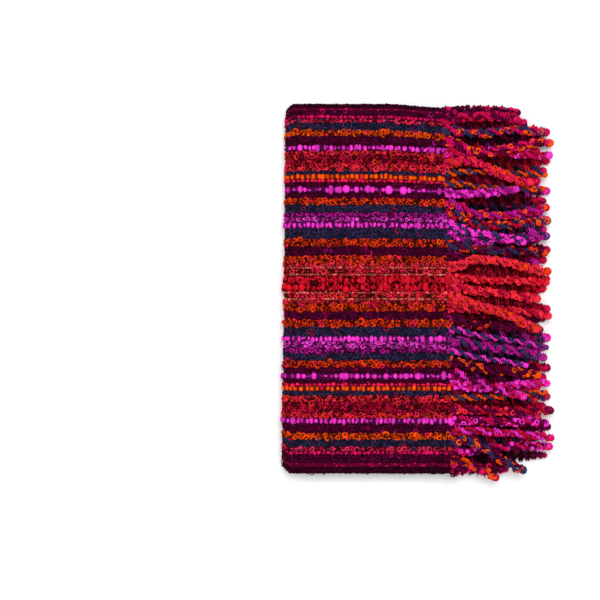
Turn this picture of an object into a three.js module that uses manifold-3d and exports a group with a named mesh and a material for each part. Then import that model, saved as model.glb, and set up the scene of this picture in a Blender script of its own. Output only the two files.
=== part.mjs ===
// A hand-woven bouclé scarf, folded in half three times and laid flat. The left side is one
// thick fold of all the layers. The two woven ends lie together at the top of the right side,
// each with its own fringe of twisted ropes, and the other folds lie below them.
// Millimetres, +Z up. +X runs along the warp to the fringe and +Y across the cloth, with
// y = 0 at the middle of the stripes. The fold and the ends are set out in an ideal, square
// stack first, and lay() then turns that into the slightly askew one.
import * as THREE from 'three';
import { mergeVertices } from 'three/addons/utils/BufferGeometryUtils.js';
import Module from 'manifold-3d';

const { clamp, lerp, smoothstep } = THREE.MathUtils;
const wasm = await Module();
wasm.setup();

// The folded cloth.
const FOLDED_LENGTH = 163;
const FRONT_HALF = 190;
const BACK_HALF = 180;
const LAYERS = 8;
const LAYER_PITCH = 3.2;
const SEAM_GAP = 0.3;
const WALL = LAYER_PITCH - SEAM_GAP;
const STACK = LAYERS * LAYER_PITCH;
const FOLD_RADIUS = STACK / 2;

// The lower right fold holds four layers, and its upper wall runs back under the others.
const END_FOLD_RADIUS = 2 * LAYER_PITCH - SEAM_GAP / 2;
const END_FOLD_X = FOLDED_LENGTH + 1 - END_FOLD_RADIUS;
const RETURN_LENGTH = 12;
const MIDDLE_FOLD_X = 158;
const SECOND_END_OVERHANG = 1.5;

// How the real stack departs from a square one.
const FOLD_SKEW = 2;
const END_SKEW = -5;
const END_BOW = -2;
const FOLD_DRAW = 0.032;
const FOLD_DRAW_REACH = 4;
const FOLD_DRAW_SHARPNESS = 6;
const END_NARROWING = 0.02;
const NARROWS_FROM = 100;
const SWELL = 0.5;
const SWELL_LENGTH = 34;
const SWELL_WIDTH = 47;

// Steps of the mesh, and the places across the cloth where plain rows have points.
const TOP_STEPS = 4;
const FOLD_STEPS = 12;
const RIBBED_FOLD_STEPS = 8;
const RIBS_FADE_OVER = 3;
const END_FOLD_STEPS = 8;
const PLAIN_STEPS = 8;
const PLAIN_ROW = Array.from({ length: PLAIN_STEPS + 1 }, (unused, i) =>
  lerp(-FRONT_HALF, BACK_HALF, i / PLAIN_STEPS));

// The raised rows of nubs and loops, measured from the middle of the stripes. The cloth was
// beaten a little tighter towards its back selvedge, so each half has its own distances.
const RIB_SLOPE = 0.7;
const RAISED_ROWS = [
  { front: 16.5, frontTo: 27.5, back: 17, backTo: 28, height: 0.7 },
  { front: 35.5, frontTo: 44, back: 36, backTo: 45, height: 0.8 },
  { front: 53, frontTo: 57.5, back: 55, backTo: 61, height: 1.3 },
  { front: 58, frontTo: 64.5, back: 61.5, backTo: 67, height: 0.8 },
  { front: 76.5, frontTo: 83.5, back: 78.5, backTo: 85.5, height: 0.8 },
  { front: 89.5, frontTo: 95.5, back: 91.5, backTo: 96.5, height: 1.5 },
  { front: 99.5, frontTo: 107.5, back: 101.5, backTo: 109.5, height: 0.9 },
  { front: 111.5, frontTo: 117.5, back: 113, backTo: 118, height: 0.7 },
  { front: 134.5, frontTo: 140.5, back: 132.5, backTo: 137.5, height: 1.3 },
  { front: 149.5, frontTo: 156.5, back: 147.5, backTo: 153.5, height: 0.8 },
  { front: 163, frontTo: 170.5, back: 161, backTo: 168.5, height: 0.6 },
];
const MIDDLE_ROW = { from: -7.5, to: 7.5, height: 1.1 };

// The hidden layers, whose selvedges stand in and out a little from one to the next.
const GROOVE = 1.6;
const RING_FRACTIONS = [0, 0.25, 0.75, 0.97];
const SELVEDGE_OFFSETS = { 2: 0.6, 3: 1.4, 4: 0.2, 5: 1.1, 6: 1.7, 7: 0.5 };
const CORNER_RADIUS = 5;
const CORNER_STEPS = 2;

// The notch that the outer layer's return lies in is cut right through the side and the ends.
const NOTCH_LENGTH = 4 * RETURN_LENGTH;
const NOTCH_WIDTH = 3 * FRONT_HALF;

// The fringes. A rope leaves its strip flat and turns round and twisted in its first part.
const STRIP = 4;
const STRIP_INSET = 4;
const ROOT_SINK = 2;
const ROPE_RADIUS = 4.5;
const ROOT_HALF_WIDTH = 4;
const ROOT_HALF_HEIGHT = 1.2;
const FLAT_TO = 0.03;
const ROUND_FROM = 0.22;
const TWIST_STEP = 0.5;
const ROPE_STEPS = 11;
const KNOT_AT = 0.95;
const KNOT_LENGTH = 0.08;
const KNOT_SWELL = 1.08;
const TIP_RADIUS = 2.6;
const KNOT_STEPS = [0.93, 0.97, 1];
const TANGENT_STEP = 0.01;
const RISE = 0.2;
const LEAVES_STRAIGHT = 0.25;
const TOP_TIER = { z: STACK - WALL / 2, lie: 14.6, fallFrom: 0.08, fallTo: 0.34, overhang: 0 };
const UNDER_TIER = {
  z: STACK - LAYER_PITCH - SEAM_GAP / 2 - WALL / 2,
  lie: 5.1,
  fallFrom: 0,
  fallTo: 0.22,
  overhang: SECOND_END_OVERHANG,
};

// Each rope of the upper fringe: where it runs across the cloth at its root, a third and two
// thirds of the way and its tip, how far it reaches, and how high and over which part of its
// length it rides on its neighbours.
const TOP_ROPES = [
  { root: 176, third: 176, late: 175, tip: 173, reach: 237, crest: 0, from: 0, to: 1 },
  { root: 167, third: 167, late: 168, tip: 165, reach: 234, crest: 9, from: 0.08, to: 1 },
  { root: 157, third: 152, late: 155, tip: 153, reach: 262, crest: 0, from: 0, to: 1 },
  { root: 146, third: 131, late: 138, tip: 142, reach: 271, crest: 9.5, from: 0.02, to: 0.6 },
  { root: 134, third: 134, late: 132, tip: 130, reach: 270, crest: 0, from: 0, to: 1 },
  { root: 123, third: 122, late: 109, tip: 102, reach: 248, crest: 9.5, from: 0.12, to: 1 },
  { root: 113, third: 113, late: 112, tip: 110, reach: 266, crest: 0, from: 0, to: 1 },
  { root: 103, third: 98, late: 96, tip: 96, reach: 264, crest: 0, from: 0, to: 1 },
  { root: 93, third: 90, late: 92, tip: 95, reach: 234, crest: 9.5, from: 0.1, to: 1 },
  { root: 82, third: 70, late: 70, tip: 78, reach: 267, crest: 0, from: 0, to: 1 },
  { root: 71, third: 59, late: 60, tip: 64, reach: 268, crest: 0, from: 0, to: 1 },
  { root: 61, third: 51, late: 47, tip: 41, reach: 241, crest: 9.5, from: 0.08, to: 1 },
  { root: 50, third: 43, late: 46, tip: 48, reach: 267, crest: 0, from: 0, to: 1 },
  { root: 39, third: 34, late: 33, tip: 31, reach: 265, crest: 0, from: 0, to: 1 },
  { root: 28, third: 24, late: 23, tip: 21, reach: 256, crest: 0, from: 0, to: 1 },
  { root: 17, third: 24, late: 19, tip: 12, reach: 266, crest: 10, from: 0.02, to: 1 },
  { root: 6, third: 4, late: 3, tip: 1, reach: 267, crest: 0, from: 0, to: 1 },
  { root: -4, third: -7, late: -11, tip: -16, reach: 257, crest: 0, from: 0, to: 1 },
  { root: -14, third: -22, late: -32, tip: -47, reach: 254, crest: 9.5, from: 0.08, to: 1 },
  { root: -24, third: -26, late: -28, tip: -33, reach: 269, crest: 0, from: 0, to: 1 },
  { root: -35, third: -42, late: -43, tip: -47, reach: 260, crest: 0, from: 0, to: 1 },
  { root: -46, third: -53, late: -58, tip: -65, reach: 267, crest: 0, from: 0, to: 1 },
  { root: -57, third: -63, late: -68, tip: -75, reach: 264, crest: 0, from: 0, to: 1 },
  { root: -68, third: -74, late: -78, tip: -83, reach: 246, crest: 0, from: 0, to: 1 },
  { root: -79, third: -85, late: -89, tip: -92, reach: 258, crest: 0, from: 0, to: 1 },
  { root: -90, third: -99, late: -106, tip: -114, reach: 241, crest: 9.5, from: 0.08, to: 1 },
  { root: -101, third: -105, late: -102, tip: -101, reach: 268, crest: 0, from: 0, to: 1 },
  { root: -114, third: -115, late: -112, tip: -110, reach: 266, crest: 0, from: 0, to: 1 },
  { root: -126, third: -128, late: -128, tip: -128, reach: 271, crest: 0, from: 0, to: 1 },
  { root: -137, third: -139, late: -140, tip: -141, reach: 266, crest: 0, from: 0, to: 1 },
  { root: -148, third: -149, late: -152, tip: -156, reach: 272, crest: 0, from: 0, to: 1 },
  { root: -159, third: -160, late: -176, tip: -187, reach: 241, crest: 9.5, from: 0.08, to: 1 },
  { root: -169, third: -167, late: -164, tip: -165, reach: 270, crest: 0, from: 0, to: 1 },
  { root: -178, third: -180, late: -187, tip: -195, reach: 213, crest: 9, from: 0.06, to: 1 },
  { root: -187, third: -187, late: -187, tip: -187, reach: 224, crest: 0, from: 0, to: 1 },
];

// The ropes of the under fringe lie nearly straight, and are shorter at both selvedges.
const UNDER_ROPES = 37;
const UNDER_FRONT = -185;
const UNDER_BACK = 175;
const UNDER_REACH = 265;
const UNDER_REACH_SPREAD = 6;
const UNDER_SWAY = 0.4;
const CORNER_SHORTER = { front: 38, frontOver: 12, back: 27, backOver: 20 };
// How many radians a row of ropes varies by from one to the next, so that none looks repeated.
const VARIES = { reach: 2.1, third: 1.7, late: 2.3, tip: 1.1 };

// Turns a point of the square stack into the real one: the thick fold lies a little askew,
// the woven ends run further out at the front, and the tight fold draws its corners in.
function lay(x, y, z) {
  const along = x / FOLDED_LENGTH;
  const across = y / FRONT_HALF;
  const foldLine = FOLD_SKEW * across * (1 - along);
  const endLine = (END_SKEW * across + END_BOW * across * across) * along;
  const corner = Math.abs(across) ** FOLD_DRAW_SHARPNESS;
  const drawnIn = FOLD_DRAW * Math.exp(-((x / FOLD_DRAW_REACH) ** 2)) * corner;
  const narrower = y > 0 ? END_NARROWING * smoothstep(x, NARROWS_FROM, FOLDED_LENGTH) : 0;
  return new THREE.Vector3(x + foldLine + endLine, y * (1 - drawnIn - narrower), z);
}

// A mesh's triangles are kept as a flat list of points, and merged at the end.
function solidGeometry(triangles) {
  const geometry = new THREE.BufferGeometry();
  const positions = triangles.flatMap((point) => [point.x, point.y, point.z]);
  geometry.setAttribute('position', new THREE.Float32BufferAttribute(positions, 3));
  return mergeVertices(geometry, 1e-4);
}

// Joins two rows of points that both run from the front to the back, whatever their counts.
function bridgeRows(first, second) {
  const triangles = [];
  let a = 0;
  let b = 0;
  while (a < first.length - 1 || b < second.length - 1) {
    const firstIsNext = a < first.length - 1 && first[a + 1].across <= second[b + 1]?.across;
    if (firstIsNext || b === second.length - 1) {
      triangles.push(first[a].point, first[a + 1].point, second[b].point);
      a += 1;
    } else {
      triangles.push(first[a].point, second[b + 1].point, second[b].point);
      b += 1;
    }
  }
  return triangles;
}

// Closed rings of equal counts, joined in turn and closed at both ends by a fan.
function loftRings(rings) {
  const triangles = [];
  for (let i = 0; i < rings.length - 1; i += 1) {
    rings[i].forEach((point, j) => {
      const k = (j + 1) % rings[i].length;
      triangles.push(point, rings[i][k], rings[i + 1][k]);
      triangles.push(point, rings[i + 1][k], rings[i + 1][j]);
    });
  }
  const start = rings[0];
  const end = rings.at(-1);
  for (let j = 1; j < start.length - 1; j += 1) {
    triangles.push(start[0], start[j + 1], start[j]);
    triangles.push(end[0], end[j], end[j + 1]);
  }
  return triangles;
}

function toManifold(geometry) {
  const vertProperties = Float32Array.from(geometry.attributes.position.array);
  const triVerts = Uint32Array.from(geometry.index.array);
  return new wasm.Manifold(new wasm.Mesh({ numProp: 3, vertProperties, triVerts }));
}

function fromManifold(solid) {
  const mesh = solid.getMesh();
  const geometry = new THREE.BufferGeometry();
  geometry.setAttribute('position', new THREE.BufferAttribute(mesh.vertProperties, 3));
  geometry.setIndex(new THREE.BufferAttribute(mesh.triVerts, 1));
  return geometry;
}

// The places across the cloth where a ribbed row has points, with how far each is raised.
function ribbedRow() {
  const ribs = RAISED_ROWS.flatMap((row) => [
    { from: -row.frontTo, to: -row.front, height: row.height },
    { from: row.back, to: row.backTo, height: row.height },
  ]);
  ribs.push(MIDDLE_ROW);
  const points = PLAIN_ROW.filter((y) => ribs.every((rib) => y < rib.from || y > rib.to))
    .map((y) => ({ y, height: 0 }));
  for (const { from, to, height } of ribs) {
    points.push({ y: from, height: 0 }, { y: from + RIB_SLOPE, height });
    points.push({ y: to - RIB_SLOPE, height }, { y: to, height: 0 });
  }
  return points.sort((p, q) => p.y - q.y);
}

// The outer layer's path, seen from the front: back along the top from the woven end, round
// the thick fold, along the floor, round the lower right fold and a little way back.
function outerPath() {
  const path = [];
  for (let i = 0; i <= TOP_STEPS; i += 1) {
    const x = lerp(FOLDED_LENGTH, FOLD_RADIUS, i / TOP_STEPS);
    path.push({ x, z: STACK, nx: 0, nz: 1, raise: 1 });
  }
  for (let i = 1; i < FOLD_STEPS; i += 1) {
    const angle = Math.PI * (1 / 2 + i / FOLD_STEPS);
    const nx = Math.cos(angle);
    const nz = Math.sin(angle);
    const raise = clamp((RIBBED_FOLD_STEPS - i) / RIBS_FADE_OVER, 0, 1);
    path.push({ x: FOLD_RADIUS * (1 + nx), z: FOLD_RADIUS * (1 + nz), nx, nz, raise });
  }
  for (const x of [FOLD_RADIUS, FOLDED_LENGTH / 2]) {
    path.push({ x, z: 0, nx: 0, nz: -1, raise: 0 });
  }
  for (let i = 0; i <= END_FOLD_STEPS; i += 1) {
    const angle = Math.PI * (i / END_FOLD_STEPS - 1 / 2);
    const nx = Math.cos(angle);
    const nz = Math.sin(angle);
    const x = END_FOLD_X + END_FOLD_RADIUS * nx;
    path.push({ x, z: END_FOLD_RADIUS * (1 + nz), nx, nz, raise: 0 });
  }
  const returned = END_FOLD_X - RETURN_LENGTH;
  path.push({ x: returned, z: 2 * END_FOLD_RADIUS, nx: 0, nz: 1, raise: 0 });
  return path;
}

// The cloth is nowhere quite level: its top swells a little from place to place.
function swell(x, y) {
  return SWELL * (1 + Math.sin(x / SWELL_LENGTH) * Math.cos(y / SWELL_WIDTH)) / 2;
}

function outerLayer() {
  const ribbed = ribbedRow();
  const plain = PLAIN_ROW.map((y) => ({ y, height: 0 }));
  const rowAt = (section, places, depth) => places.map(({ y, height }) => {
    const out = section.raise * (height + swell(section.x, y)) - depth;
    const point = lay(section.x + section.nx * out, y, section.z + section.nz * out);
    return { across: y, point };
  });
  const path = outerPath();
  const outside = path.map((section) => rowAt(section, section.raise > 0 ? ribbed : plain, 0));
  const inside = path.map((section) => rowAt({ ...section, raise: 0 }, plain, WALL));
  const loop = [...outside, ...inside.reverse()];
  const triangles = loop.flatMap((row, i) => bridgeRows(row, loop[(i + 1) % loop.length]));
  inside.reverse();
  for (let i = 0; i < path.length - 1; i += 1) {
    const edges = [0, -1].map((at) => [
      outside[i].at(at).point,
      outside[i + 1].at(at).point,
      inside[i + 1].at(at).point,
      inside[i].at(at).point,
    ]);
    const [[a, b, c, d], [e, f, g, h]] = edges;
    triangles.push(a, b, c, a, c, d, e, g, f, e, h, g);
  }
  return solidGeometry(triangles);
}

// The half width, at a height above or below its middle, of a fold of the given radius.
function roundAt(height, radius) {
  return Math.sqrt(Math.max(radius * radius - height * height, 0));
}

// Where the hidden layers end on the right at a height: the inner of the lower folds, the
// middle fold above it, and the second woven end on top.
function hiddenEnd(z) {
  if (z < 3 * LAYER_PITCH) {
    const radius = END_FOLD_RADIUS - WALL - SEAM_GAP;
    return END_FOLD_X + roundAt(z - END_FOLD_RADIUS, radius);
  }
  if (z < 6 * LAYER_PITCH) {
    return MIDDLE_FOLD_X + roundAt(z - 5 * LAYER_PITCH, LAYER_PITCH);
  }
  return FOLDED_LENGTH + SECOND_END_OVERHANG;
}

function cornerPoints(x, y, startAngle) {
  return Array.from({ length: CORNER_STEPS + 1 }, (unused, i) => {
    const angle = startAngle + (Math.PI / 2) * (i / CORNER_STEPS);
    return [x + CORNER_RADIUS * Math.cos(angle), y + CORNER_RADIUS * Math.sin(angle)];
  });
}

// One level ring of the hidden layers, drawn in by inset at its selvedges.
function hiddenRing(z, inset) {
  const foldRadius = FOLD_RADIUS - WALL - SEAM_GAP;
  const left = FOLD_RADIUS - roundAt(z - FOLD_RADIUS, foldRadius);
  const right = hiddenEnd(z);
  const front = -FRONT_HALF + inset + CORNER_RADIUS;
  const back = BACK_HALF - inset - CORNER_RADIUS;
  const inner = PLAIN_ROW.slice(1, -1);
  return [
    ...inner.toReversed().map((y) => [left, y]),
    ...cornerPoints(left + CORNER_RADIUS, front, Math.PI),
    ...cornerPoints(right - CORNER_RADIUS, front, 1.5 * Math.PI),
    ...inner.map((y) => [right, y]),
    ...cornerPoints(right - CORNER_RADIUS, back, 0),
    ...cornerPoints(left + CORNER_RADIUS, back, Math.PI / 2),
  ].map(([x, y]) => new THREE.Vector3(x, y, z));
}

// The six hidden layers as one solid, with a groove between each two and a notch on the right
// that the outer layer's return lies in.
function hiddenLayers() {
  const rings = [];
  for (let layer = LAYERS - 1; layer > 1; layer -= 1) {
    const base = (LAYERS - layer) * LAYER_PITCH;
    RING_FRACTIONS.forEach((fraction, i) => {
      const grooved = i === 0 || i === RING_FRACTIONS.length - 1;
      const inset = SELVEDGE_OFFSETS[layer] + (grooved ? GROOVE : 0);
      rings.push(hiddenRing(base + fraction * LAYER_PITCH, inset));
    });
  }
  const notchLow = 2 * END_FOLD_RADIUS - WALL - SEAM_GAP;
  const notchHigh = 2 * END_FOLD_RADIUS + SEAM_GAP;
  const notch = new THREE.BoxGeometry(NOTCH_LENGTH, NOTCH_WIDTH, notchHigh - notchLow);
  const notchLeft = END_FOLD_X - RETURN_LENGTH - SEAM_GAP;
  notch.translate(notchLeft + NOTCH_LENGTH / 2, 0, (notchLow + notchHigh) / 2);
  notch.deleteAttribute('normal');
  notch.deleteAttribute('uv');
  const cut = toManifold(solidGeometry(loftRings(rings))).subtract(toManifold(mergeVertices(notch)));
  const geometry = fromManifold(cut);
  const position = geometry.attributes.position;
  for (let i = 0; i < position.count; i += 1) {
    const point = lay(position.getX(i), position.getY(i), position.getZ(i));
    position.setXYZ(i, point.x, point.y, point.z);
  }
  return geometry;
}

// A smooth curve through four values at 0, 1/3, 2/3 and 1.
function throughFour(s, [p, q, r, t]) {
  const u = 3 * s;
  const first = (p * (1 - u) * (2 - u) * (3 - u)) / 6;
  const second = (q * u * (2 - u) * (3 - u)) / 2;
  const third = (-r * u * (1 - u) * (3 - u)) / 2;
  const last = (t * u * (1 - u) * (2 - u)) / 6;
  return first + second + third + last;
}

// A rope's middle line at s, from 0 at its root to 1 at its tip.
function ropePoint(rope, tier, s) {
  const rootX = FOLDED_LENGTH + tier.overhang + SEAM_GAP + STRIP - ROOT_SINK;
  const root = lay(rootX, rope.root, 0);
  const course = throughFour(s, [root.y, rope.third, rope.late, rope.tip]);
  const y = lerp(root.y, course, smoothstep(s, 0, LEAVES_STRAIGHT));
  const fall = smoothstep(s, tier.fallFrom, tier.fallTo);
  const up = smoothstep(s, rope.from, rope.from + RISE);
  const down = rope.to < 1 ? smoothstep(s, rope.to, rope.to + RISE) : 0;
  const z = lerp(tier.z, tier.lie, fall) + rope.crest * up * (1 - down);
  return new THREE.Vector3(lerp(root.x, rope.reach, s), y, z);
}

function ropeRadius(s) {
  if (s <= KNOT_AT) {
    return ROPE_RADIUS * (1 + (KNOT_SWELL - 1) * smoothstep(s, KNOT_AT - KNOT_LENGTH, KNOT_AT));
  }
  return lerp(ROPE_RADIUS * KNOT_SWELL, TIP_RADIUS, (s - KNOT_AT) / (1 - KNOT_AT));
}

// A four-sided rope that leaves its strip flat, turns as it goes and ends in a small knot.
function ropeGeometry(rope, tier) {
  const places = Array.from({ length: ROPE_STEPS - 2 }, (unused, i) => i / (ROPE_STEPS - 2));
  const rings = [...places, ...KNOT_STEPS].map((s, step) => {
    const here = ropePoint(rope, tier, s);
    const before = ropePoint(rope, tier, Math.max(s - TANGENT_STEP, 0));
    const along = ropePoint(rope, tier, s + TANGENT_STEP).sub(before).normalize();
    if (s === 0) {
      along.set(1, 0, 0);
    }
    const side = new THREE.Vector3(0, 0, 1).cross(along).normalize();
    const up = along.clone().cross(side);
    const round = smoothstep(s, FLAT_TO, ROUND_FROM);
    const width = lerp(ROOT_HALF_WIDTH * Math.SQRT2, ropeRadius(s), round);
    const height = lerp(ROOT_HALF_HEIGHT * Math.SQRT2, ropeRadius(s), round);
    const turn = Math.PI / 4 + round * TWIST_STEP * step;
    return [0, 1, 2, 3].map((corner) => {
      const angle = turn + (corner * Math.PI) / 2;
      const point = here.clone().addScaledVector(side, width * Math.cos(angle));
      return point.addScaledVector(up, height * Math.sin(angle));
    });
  });
  return solidGeometry(loftRings(rings));
}

// The narrow strip that a fringe's roots are fused into, 0.3 mm clear of the woven end.
function stripGeometry(tier) {
  const near = FOLDED_LENGTH + tier.overhang + SEAM_GAP;
  const inner = PLAIN_ROW.slice(1, -1);
  const rings = [-FRONT_HALF, ...inner, BACK_HALF].map((y) => {
    const inset = Math.sign(y) * (inner.includes(y) ? 0 : STRIP_INSET);
    return [[near, -1], [near, 1], [near + STRIP, 1], [near + STRIP, -1]].map(([x, side]) =>
      lay(x, y - inset, tier.z + (side * WALL) / 2));
  });
  return solidGeometry(loftRings(rings));
}

function fringeGeometry(ropes, tier) {
  let fringe = toManifold(stripGeometry(tier));
  for (const rope of ropes) {
    fringe = fringe.add(toManifold(ropeGeometry(rope, tier)));
  }
  return fromManifold(fringe);
}

function underRopes() {
  return Array.from({ length: UNDER_ROPES }, (unused, i) => {
    const root = lerp(UNDER_FRONT, UNDER_BACK, i / (UNDER_ROPES - 1));
    const { front, frontOver, back, backOver } = CORNER_SHORTER;
    const shorterFront = front * (1 - smoothstep(root, UNDER_FRONT, UNDER_FRONT + frontOver));
    const shorterBack = back * smoothstep(root, UNDER_BACK - backOver, UNDER_BACK);
    const spread = UNDER_REACH_SPREAD * Math.sin(VARIES.reach * i);
    const reach = UNDER_REACH + spread - shorterFront - shorterBack;
    const third = root + UNDER_SWAY * Math.sin(VARIES.third * i);
    const late = root + UNDER_SWAY * Math.sin(VARIES.late * i);
    const tip = root + UNDER_SWAY * Math.sin(VARIES.tip * i);
    return { root, third, late, tip, reach, crest: 0, from: 0, to: 1 };
  });
}

function cloth(name, geometry, color) {
  geometry.computeVertexNormals();
  const material = new THREE.MeshStandardMaterial({ color, roughness: 0.95, metalness: 0 });
  const mesh = new THREE.Mesh(geometry, material);
  mesh.name = name;
  return mesh;
}

const scarf = new THREE.Group();
scarf.add(
  cloth('outer_layer', outerLayer(), 0x8c1638),
  cloth('hidden_layers', hiddenLayers(), 0x5a0a2e),
  cloth('fringe_top', fringeGeometry(TOP_ROPES, TOP_TIER), 0xb0243c),
  cloth('fringe_under', fringeGeometry(underRopes(), UNDER_TIER), 0x4a1440),
);

// The part stands on the middle of its footprint.
const box = new THREE.Box3().setFromObject(scarf);
scarf.position.set(-(box.min.x + box.max.x) / 2, -(box.min.y + box.max.y) / 2, -box.min.z);

export default scarf;
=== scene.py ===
# %% [markdown]
# # A folded bouclé scarf
#
# This lesson dresses a hand-woven scarf that has been folded in half three times and laid
# flat, with the twisted fringes of its two ends together at one side. Bouclé is a yarn that
# is spun with loops and nubs, so nearly everything that the eye sees is small and round:
# curls, beads and ropes. The cloth under them is one long panel of warp stripes.
#
# The steps are the frame, the camera and lights, the dyes, the folded panel, the loops and
# nubs that stand on it, and the two fringes.

# %% Load the frame
import math

import bpy
import numpy as np
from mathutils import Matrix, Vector


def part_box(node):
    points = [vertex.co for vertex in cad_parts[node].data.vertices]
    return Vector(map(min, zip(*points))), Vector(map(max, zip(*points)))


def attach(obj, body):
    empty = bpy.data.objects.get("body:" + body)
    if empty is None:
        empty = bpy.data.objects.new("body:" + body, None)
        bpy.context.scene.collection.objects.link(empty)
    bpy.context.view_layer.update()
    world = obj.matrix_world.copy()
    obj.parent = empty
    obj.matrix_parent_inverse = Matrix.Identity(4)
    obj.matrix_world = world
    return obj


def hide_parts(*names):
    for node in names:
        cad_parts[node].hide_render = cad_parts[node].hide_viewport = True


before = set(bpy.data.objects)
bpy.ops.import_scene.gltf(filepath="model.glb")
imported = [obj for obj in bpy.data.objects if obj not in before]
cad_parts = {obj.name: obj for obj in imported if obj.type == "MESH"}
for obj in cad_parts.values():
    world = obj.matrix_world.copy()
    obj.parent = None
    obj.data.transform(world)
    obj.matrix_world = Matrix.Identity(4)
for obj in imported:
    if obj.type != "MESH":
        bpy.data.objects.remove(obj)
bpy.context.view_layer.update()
print("solids:", sorted(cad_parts))

# %% [markdown]
# ## Camera and light
#
# The scarf lies on a pale table and is seen from straight above. The camera stands high
# enough over it that the sides of the stack hardly show. One broad lamp hangs almost above,
# a little behind the back selvedge, so a soft narrow shadow lies along the front. A pale sky
# fills in the rest, and the paper is lit until it is nearly pure white.
# The scarf fills the right half of the frame, so the camera stands to the left of it.

# %% Camera
CAMERA_HEIGHT = 1.1
FRAME_WIDTH = 0.6
CAMERA_X = -0.1193
CAMERA_Y = -0.0077
SENSOR_WIDTH = 36.0

stack_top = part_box("outer_layer")[1].z
camera_data = bpy.data.cameras.new("table_camera")
camera_data.sensor_width = SENSOR_WIDTH
camera_data.lens = SENSOR_WIDTH * CAMERA_HEIGHT / FRAME_WIDTH
camera = bpy.data.objects.new("table_camera", camera_data)
camera.location = (CAMERA_X, CAMERA_Y, stack_top + CAMERA_HEIGHT)
bpy.context.scene.collection.objects.link(camera)
bpy.context.scene.camera = camera
bpy.context.scene.view_settings.view_transform = "Standard"
print("lens:", round(camera_data.lens, 1), "mm")

# %% Lamps and sky
LAMPS = {
    "overhead_softbox": {"at": (-0.05, 0.5, 2.0), "size": 0.9, "watts": 27.0},
    "side_fill": {"at": (-1.4, 0.3, 1.5), "size": 1.2, "watts": 5.2},
    "front_fill": {"at": (0.6, -1.4, 1.7), "size": 1.2, "watts": 5.2},
}
SKY_WHITE = (1.0, 1.0, 1.0, 1.0)
SKY_STRENGTH = 0.56

for name, lamp in LAMPS.items():
    lamp_data = bpy.data.lights.new(name, "AREA")
    lamp_data.shape = "SQUARE"
    lamp_data.size = lamp["size"]
    lamp_data.energy = lamp["watts"]
    lamp_object = bpy.data.objects.new(name, lamp_data)
    lamp_object.location = lamp["at"]
    aim = Vector((0, 0, 0)) - Vector(lamp["at"])
    lamp_object.rotation_euler = aim.to_track_quat("-Z", "Y").to_euler()
    bpy.context.scene.collection.objects.link(lamp_object)

sky = bpy.data.worlds.new("studio_sky")
sky.use_nodes = True
sky_light = sky.node_tree.nodes["Background"]
sky_light.inputs["Color"].default_value = SKY_WHITE
sky_light.inputs["Strength"].default_value = SKY_STRENGTH
bpy.context.scene.world = sky
print("lamps:", ", ".join(LAMPS))

# %% [markdown]
# ## Helpers for shaping
#
# Operators act on everything that is selected, so each new primitive starts from an empty
# selection. Vertex positions are read and written as one array, which is far quicker than a
# loop when a mesh has thousands of them.


# %% Helpers for shaping
def deselect_all():
    """Leaves edit mode, and leaves nothing selected."""
    if bpy.context.object and bpy.context.object.mode != "OBJECT":
        bpy.ops.object.mode_set(mode="OBJECT")
    bpy.ops.object.select_all(action="DESELECT")


def added(name):
    """The primitive that an operator has just added, under its own name."""
    piece = bpy.context.object
    piece.name = name
    piece.data.name = name
    return piece


def points_of(mesh):
    """The places of a mesh's vertices, one row for each."""
    flat = np.empty(len(mesh.vertices) * 3)
    mesh.vertices.foreach_get("co", flat)
    return flat.reshape(-1, 3)


def move_points(mesh, points):
    """Puts a mesh's vertices at new places."""
    mesh.vertices.foreach_set("co", np.asarray(points, float).ravel())
    mesh.update()


def apply_modifier(piece, kind, **settings):
    """Adds a modifier with its settings, and applies it at once."""
    deselect_all()
    piece.select_set(True)
    bpy.context.view_layer.objects.active = piece
    modifier = piece.modifiers.new(kind.lower(), kind)
    for key, value in settings.items():
        setattr(modifier, key, value)
    bpy.ops.object.modifier_apply(modifier=modifier.name)


def face_outwards(piece):
    """Turns a piece's faces outwards, and leaves it selected."""
    deselect_all()
    piece.select_set(True)
    bpy.context.view_layer.objects.active = piece
    bpy.ops.object.mode_set(mode="EDIT")
    bpy.ops.mesh.select_all(action="SELECT")
    bpy.ops.mesh.normals_make_consistent(inside=False)
    bpy.ops.object.mode_set(mode="OBJECT")


def smoothstep(x, start, end):
    """0 up to start, 1 from end on, and a smooth rise between them."""
    t = np.clip((np.asarray(x, float) - start) / (end - start), 0.0, 1.0)
    return t * t * (3 - 2 * t)


# %% [markdown]
# ## The table top
#
# A plain pale sheet of paper under the scarf, large enough to fill the view from any side.

# %% Table top
TABLE_SIZE = 12.0
PAPER_WHITE = 0.93
PAPER_ROUGHNESS = 0.9

deselect_all()
bpy.ops.mesh.primitive_plane_add(size=TABLE_SIZE, location=(0, 0, 0))
table_top = added("table_top")
paper = bpy.data.materials.new("white_paper")
paper.use_nodes = True
paper_shader = paper.node_tree.nodes["Principled BSDF"]
paper_shader.inputs["Base Color"].default_value = (PAPER_WHITE, PAPER_WHITE, PAPER_WHITE, 1)
paper_shader.inputs["Roughness"].default_value = PAPER_ROUGHNESS
table_top.data.materials.append(paper)
print("table top:", TABLE_SIZE, "m")

# %% [markdown]
# ## Dyes
#
# The warp is made of fifteen dyed yarns. Each dye is one colour here, named as a weaver
# would name the cone. A ball of hand-dyed yarn is never one flat colour, so each yarn
# drifts between a deep and a bright tone of its dye along its length.

# %% Dyes
DYES = {
    "wine": (84, 3, 44),
    "maroon": (108, 3, 62),
    "navy": (64, 54, 98),
    "plum": (190, 26, 148),
    "orchid": (244, 74, 214),
    "magenta": (255, 58, 212),
    "raspberry": (226, 14, 98),
    "crimson": (198, 14, 58),
    "scarlet": (222, 20, 46),
    "cerise": (250, 28, 86),
    "rose": (238, 52, 92),
    "red": (252, 46, 70),
    "coral": (252, 116, 100),
    "flame": (236, 60, 20),
    "orange": (255, 86, 8),
}


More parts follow.
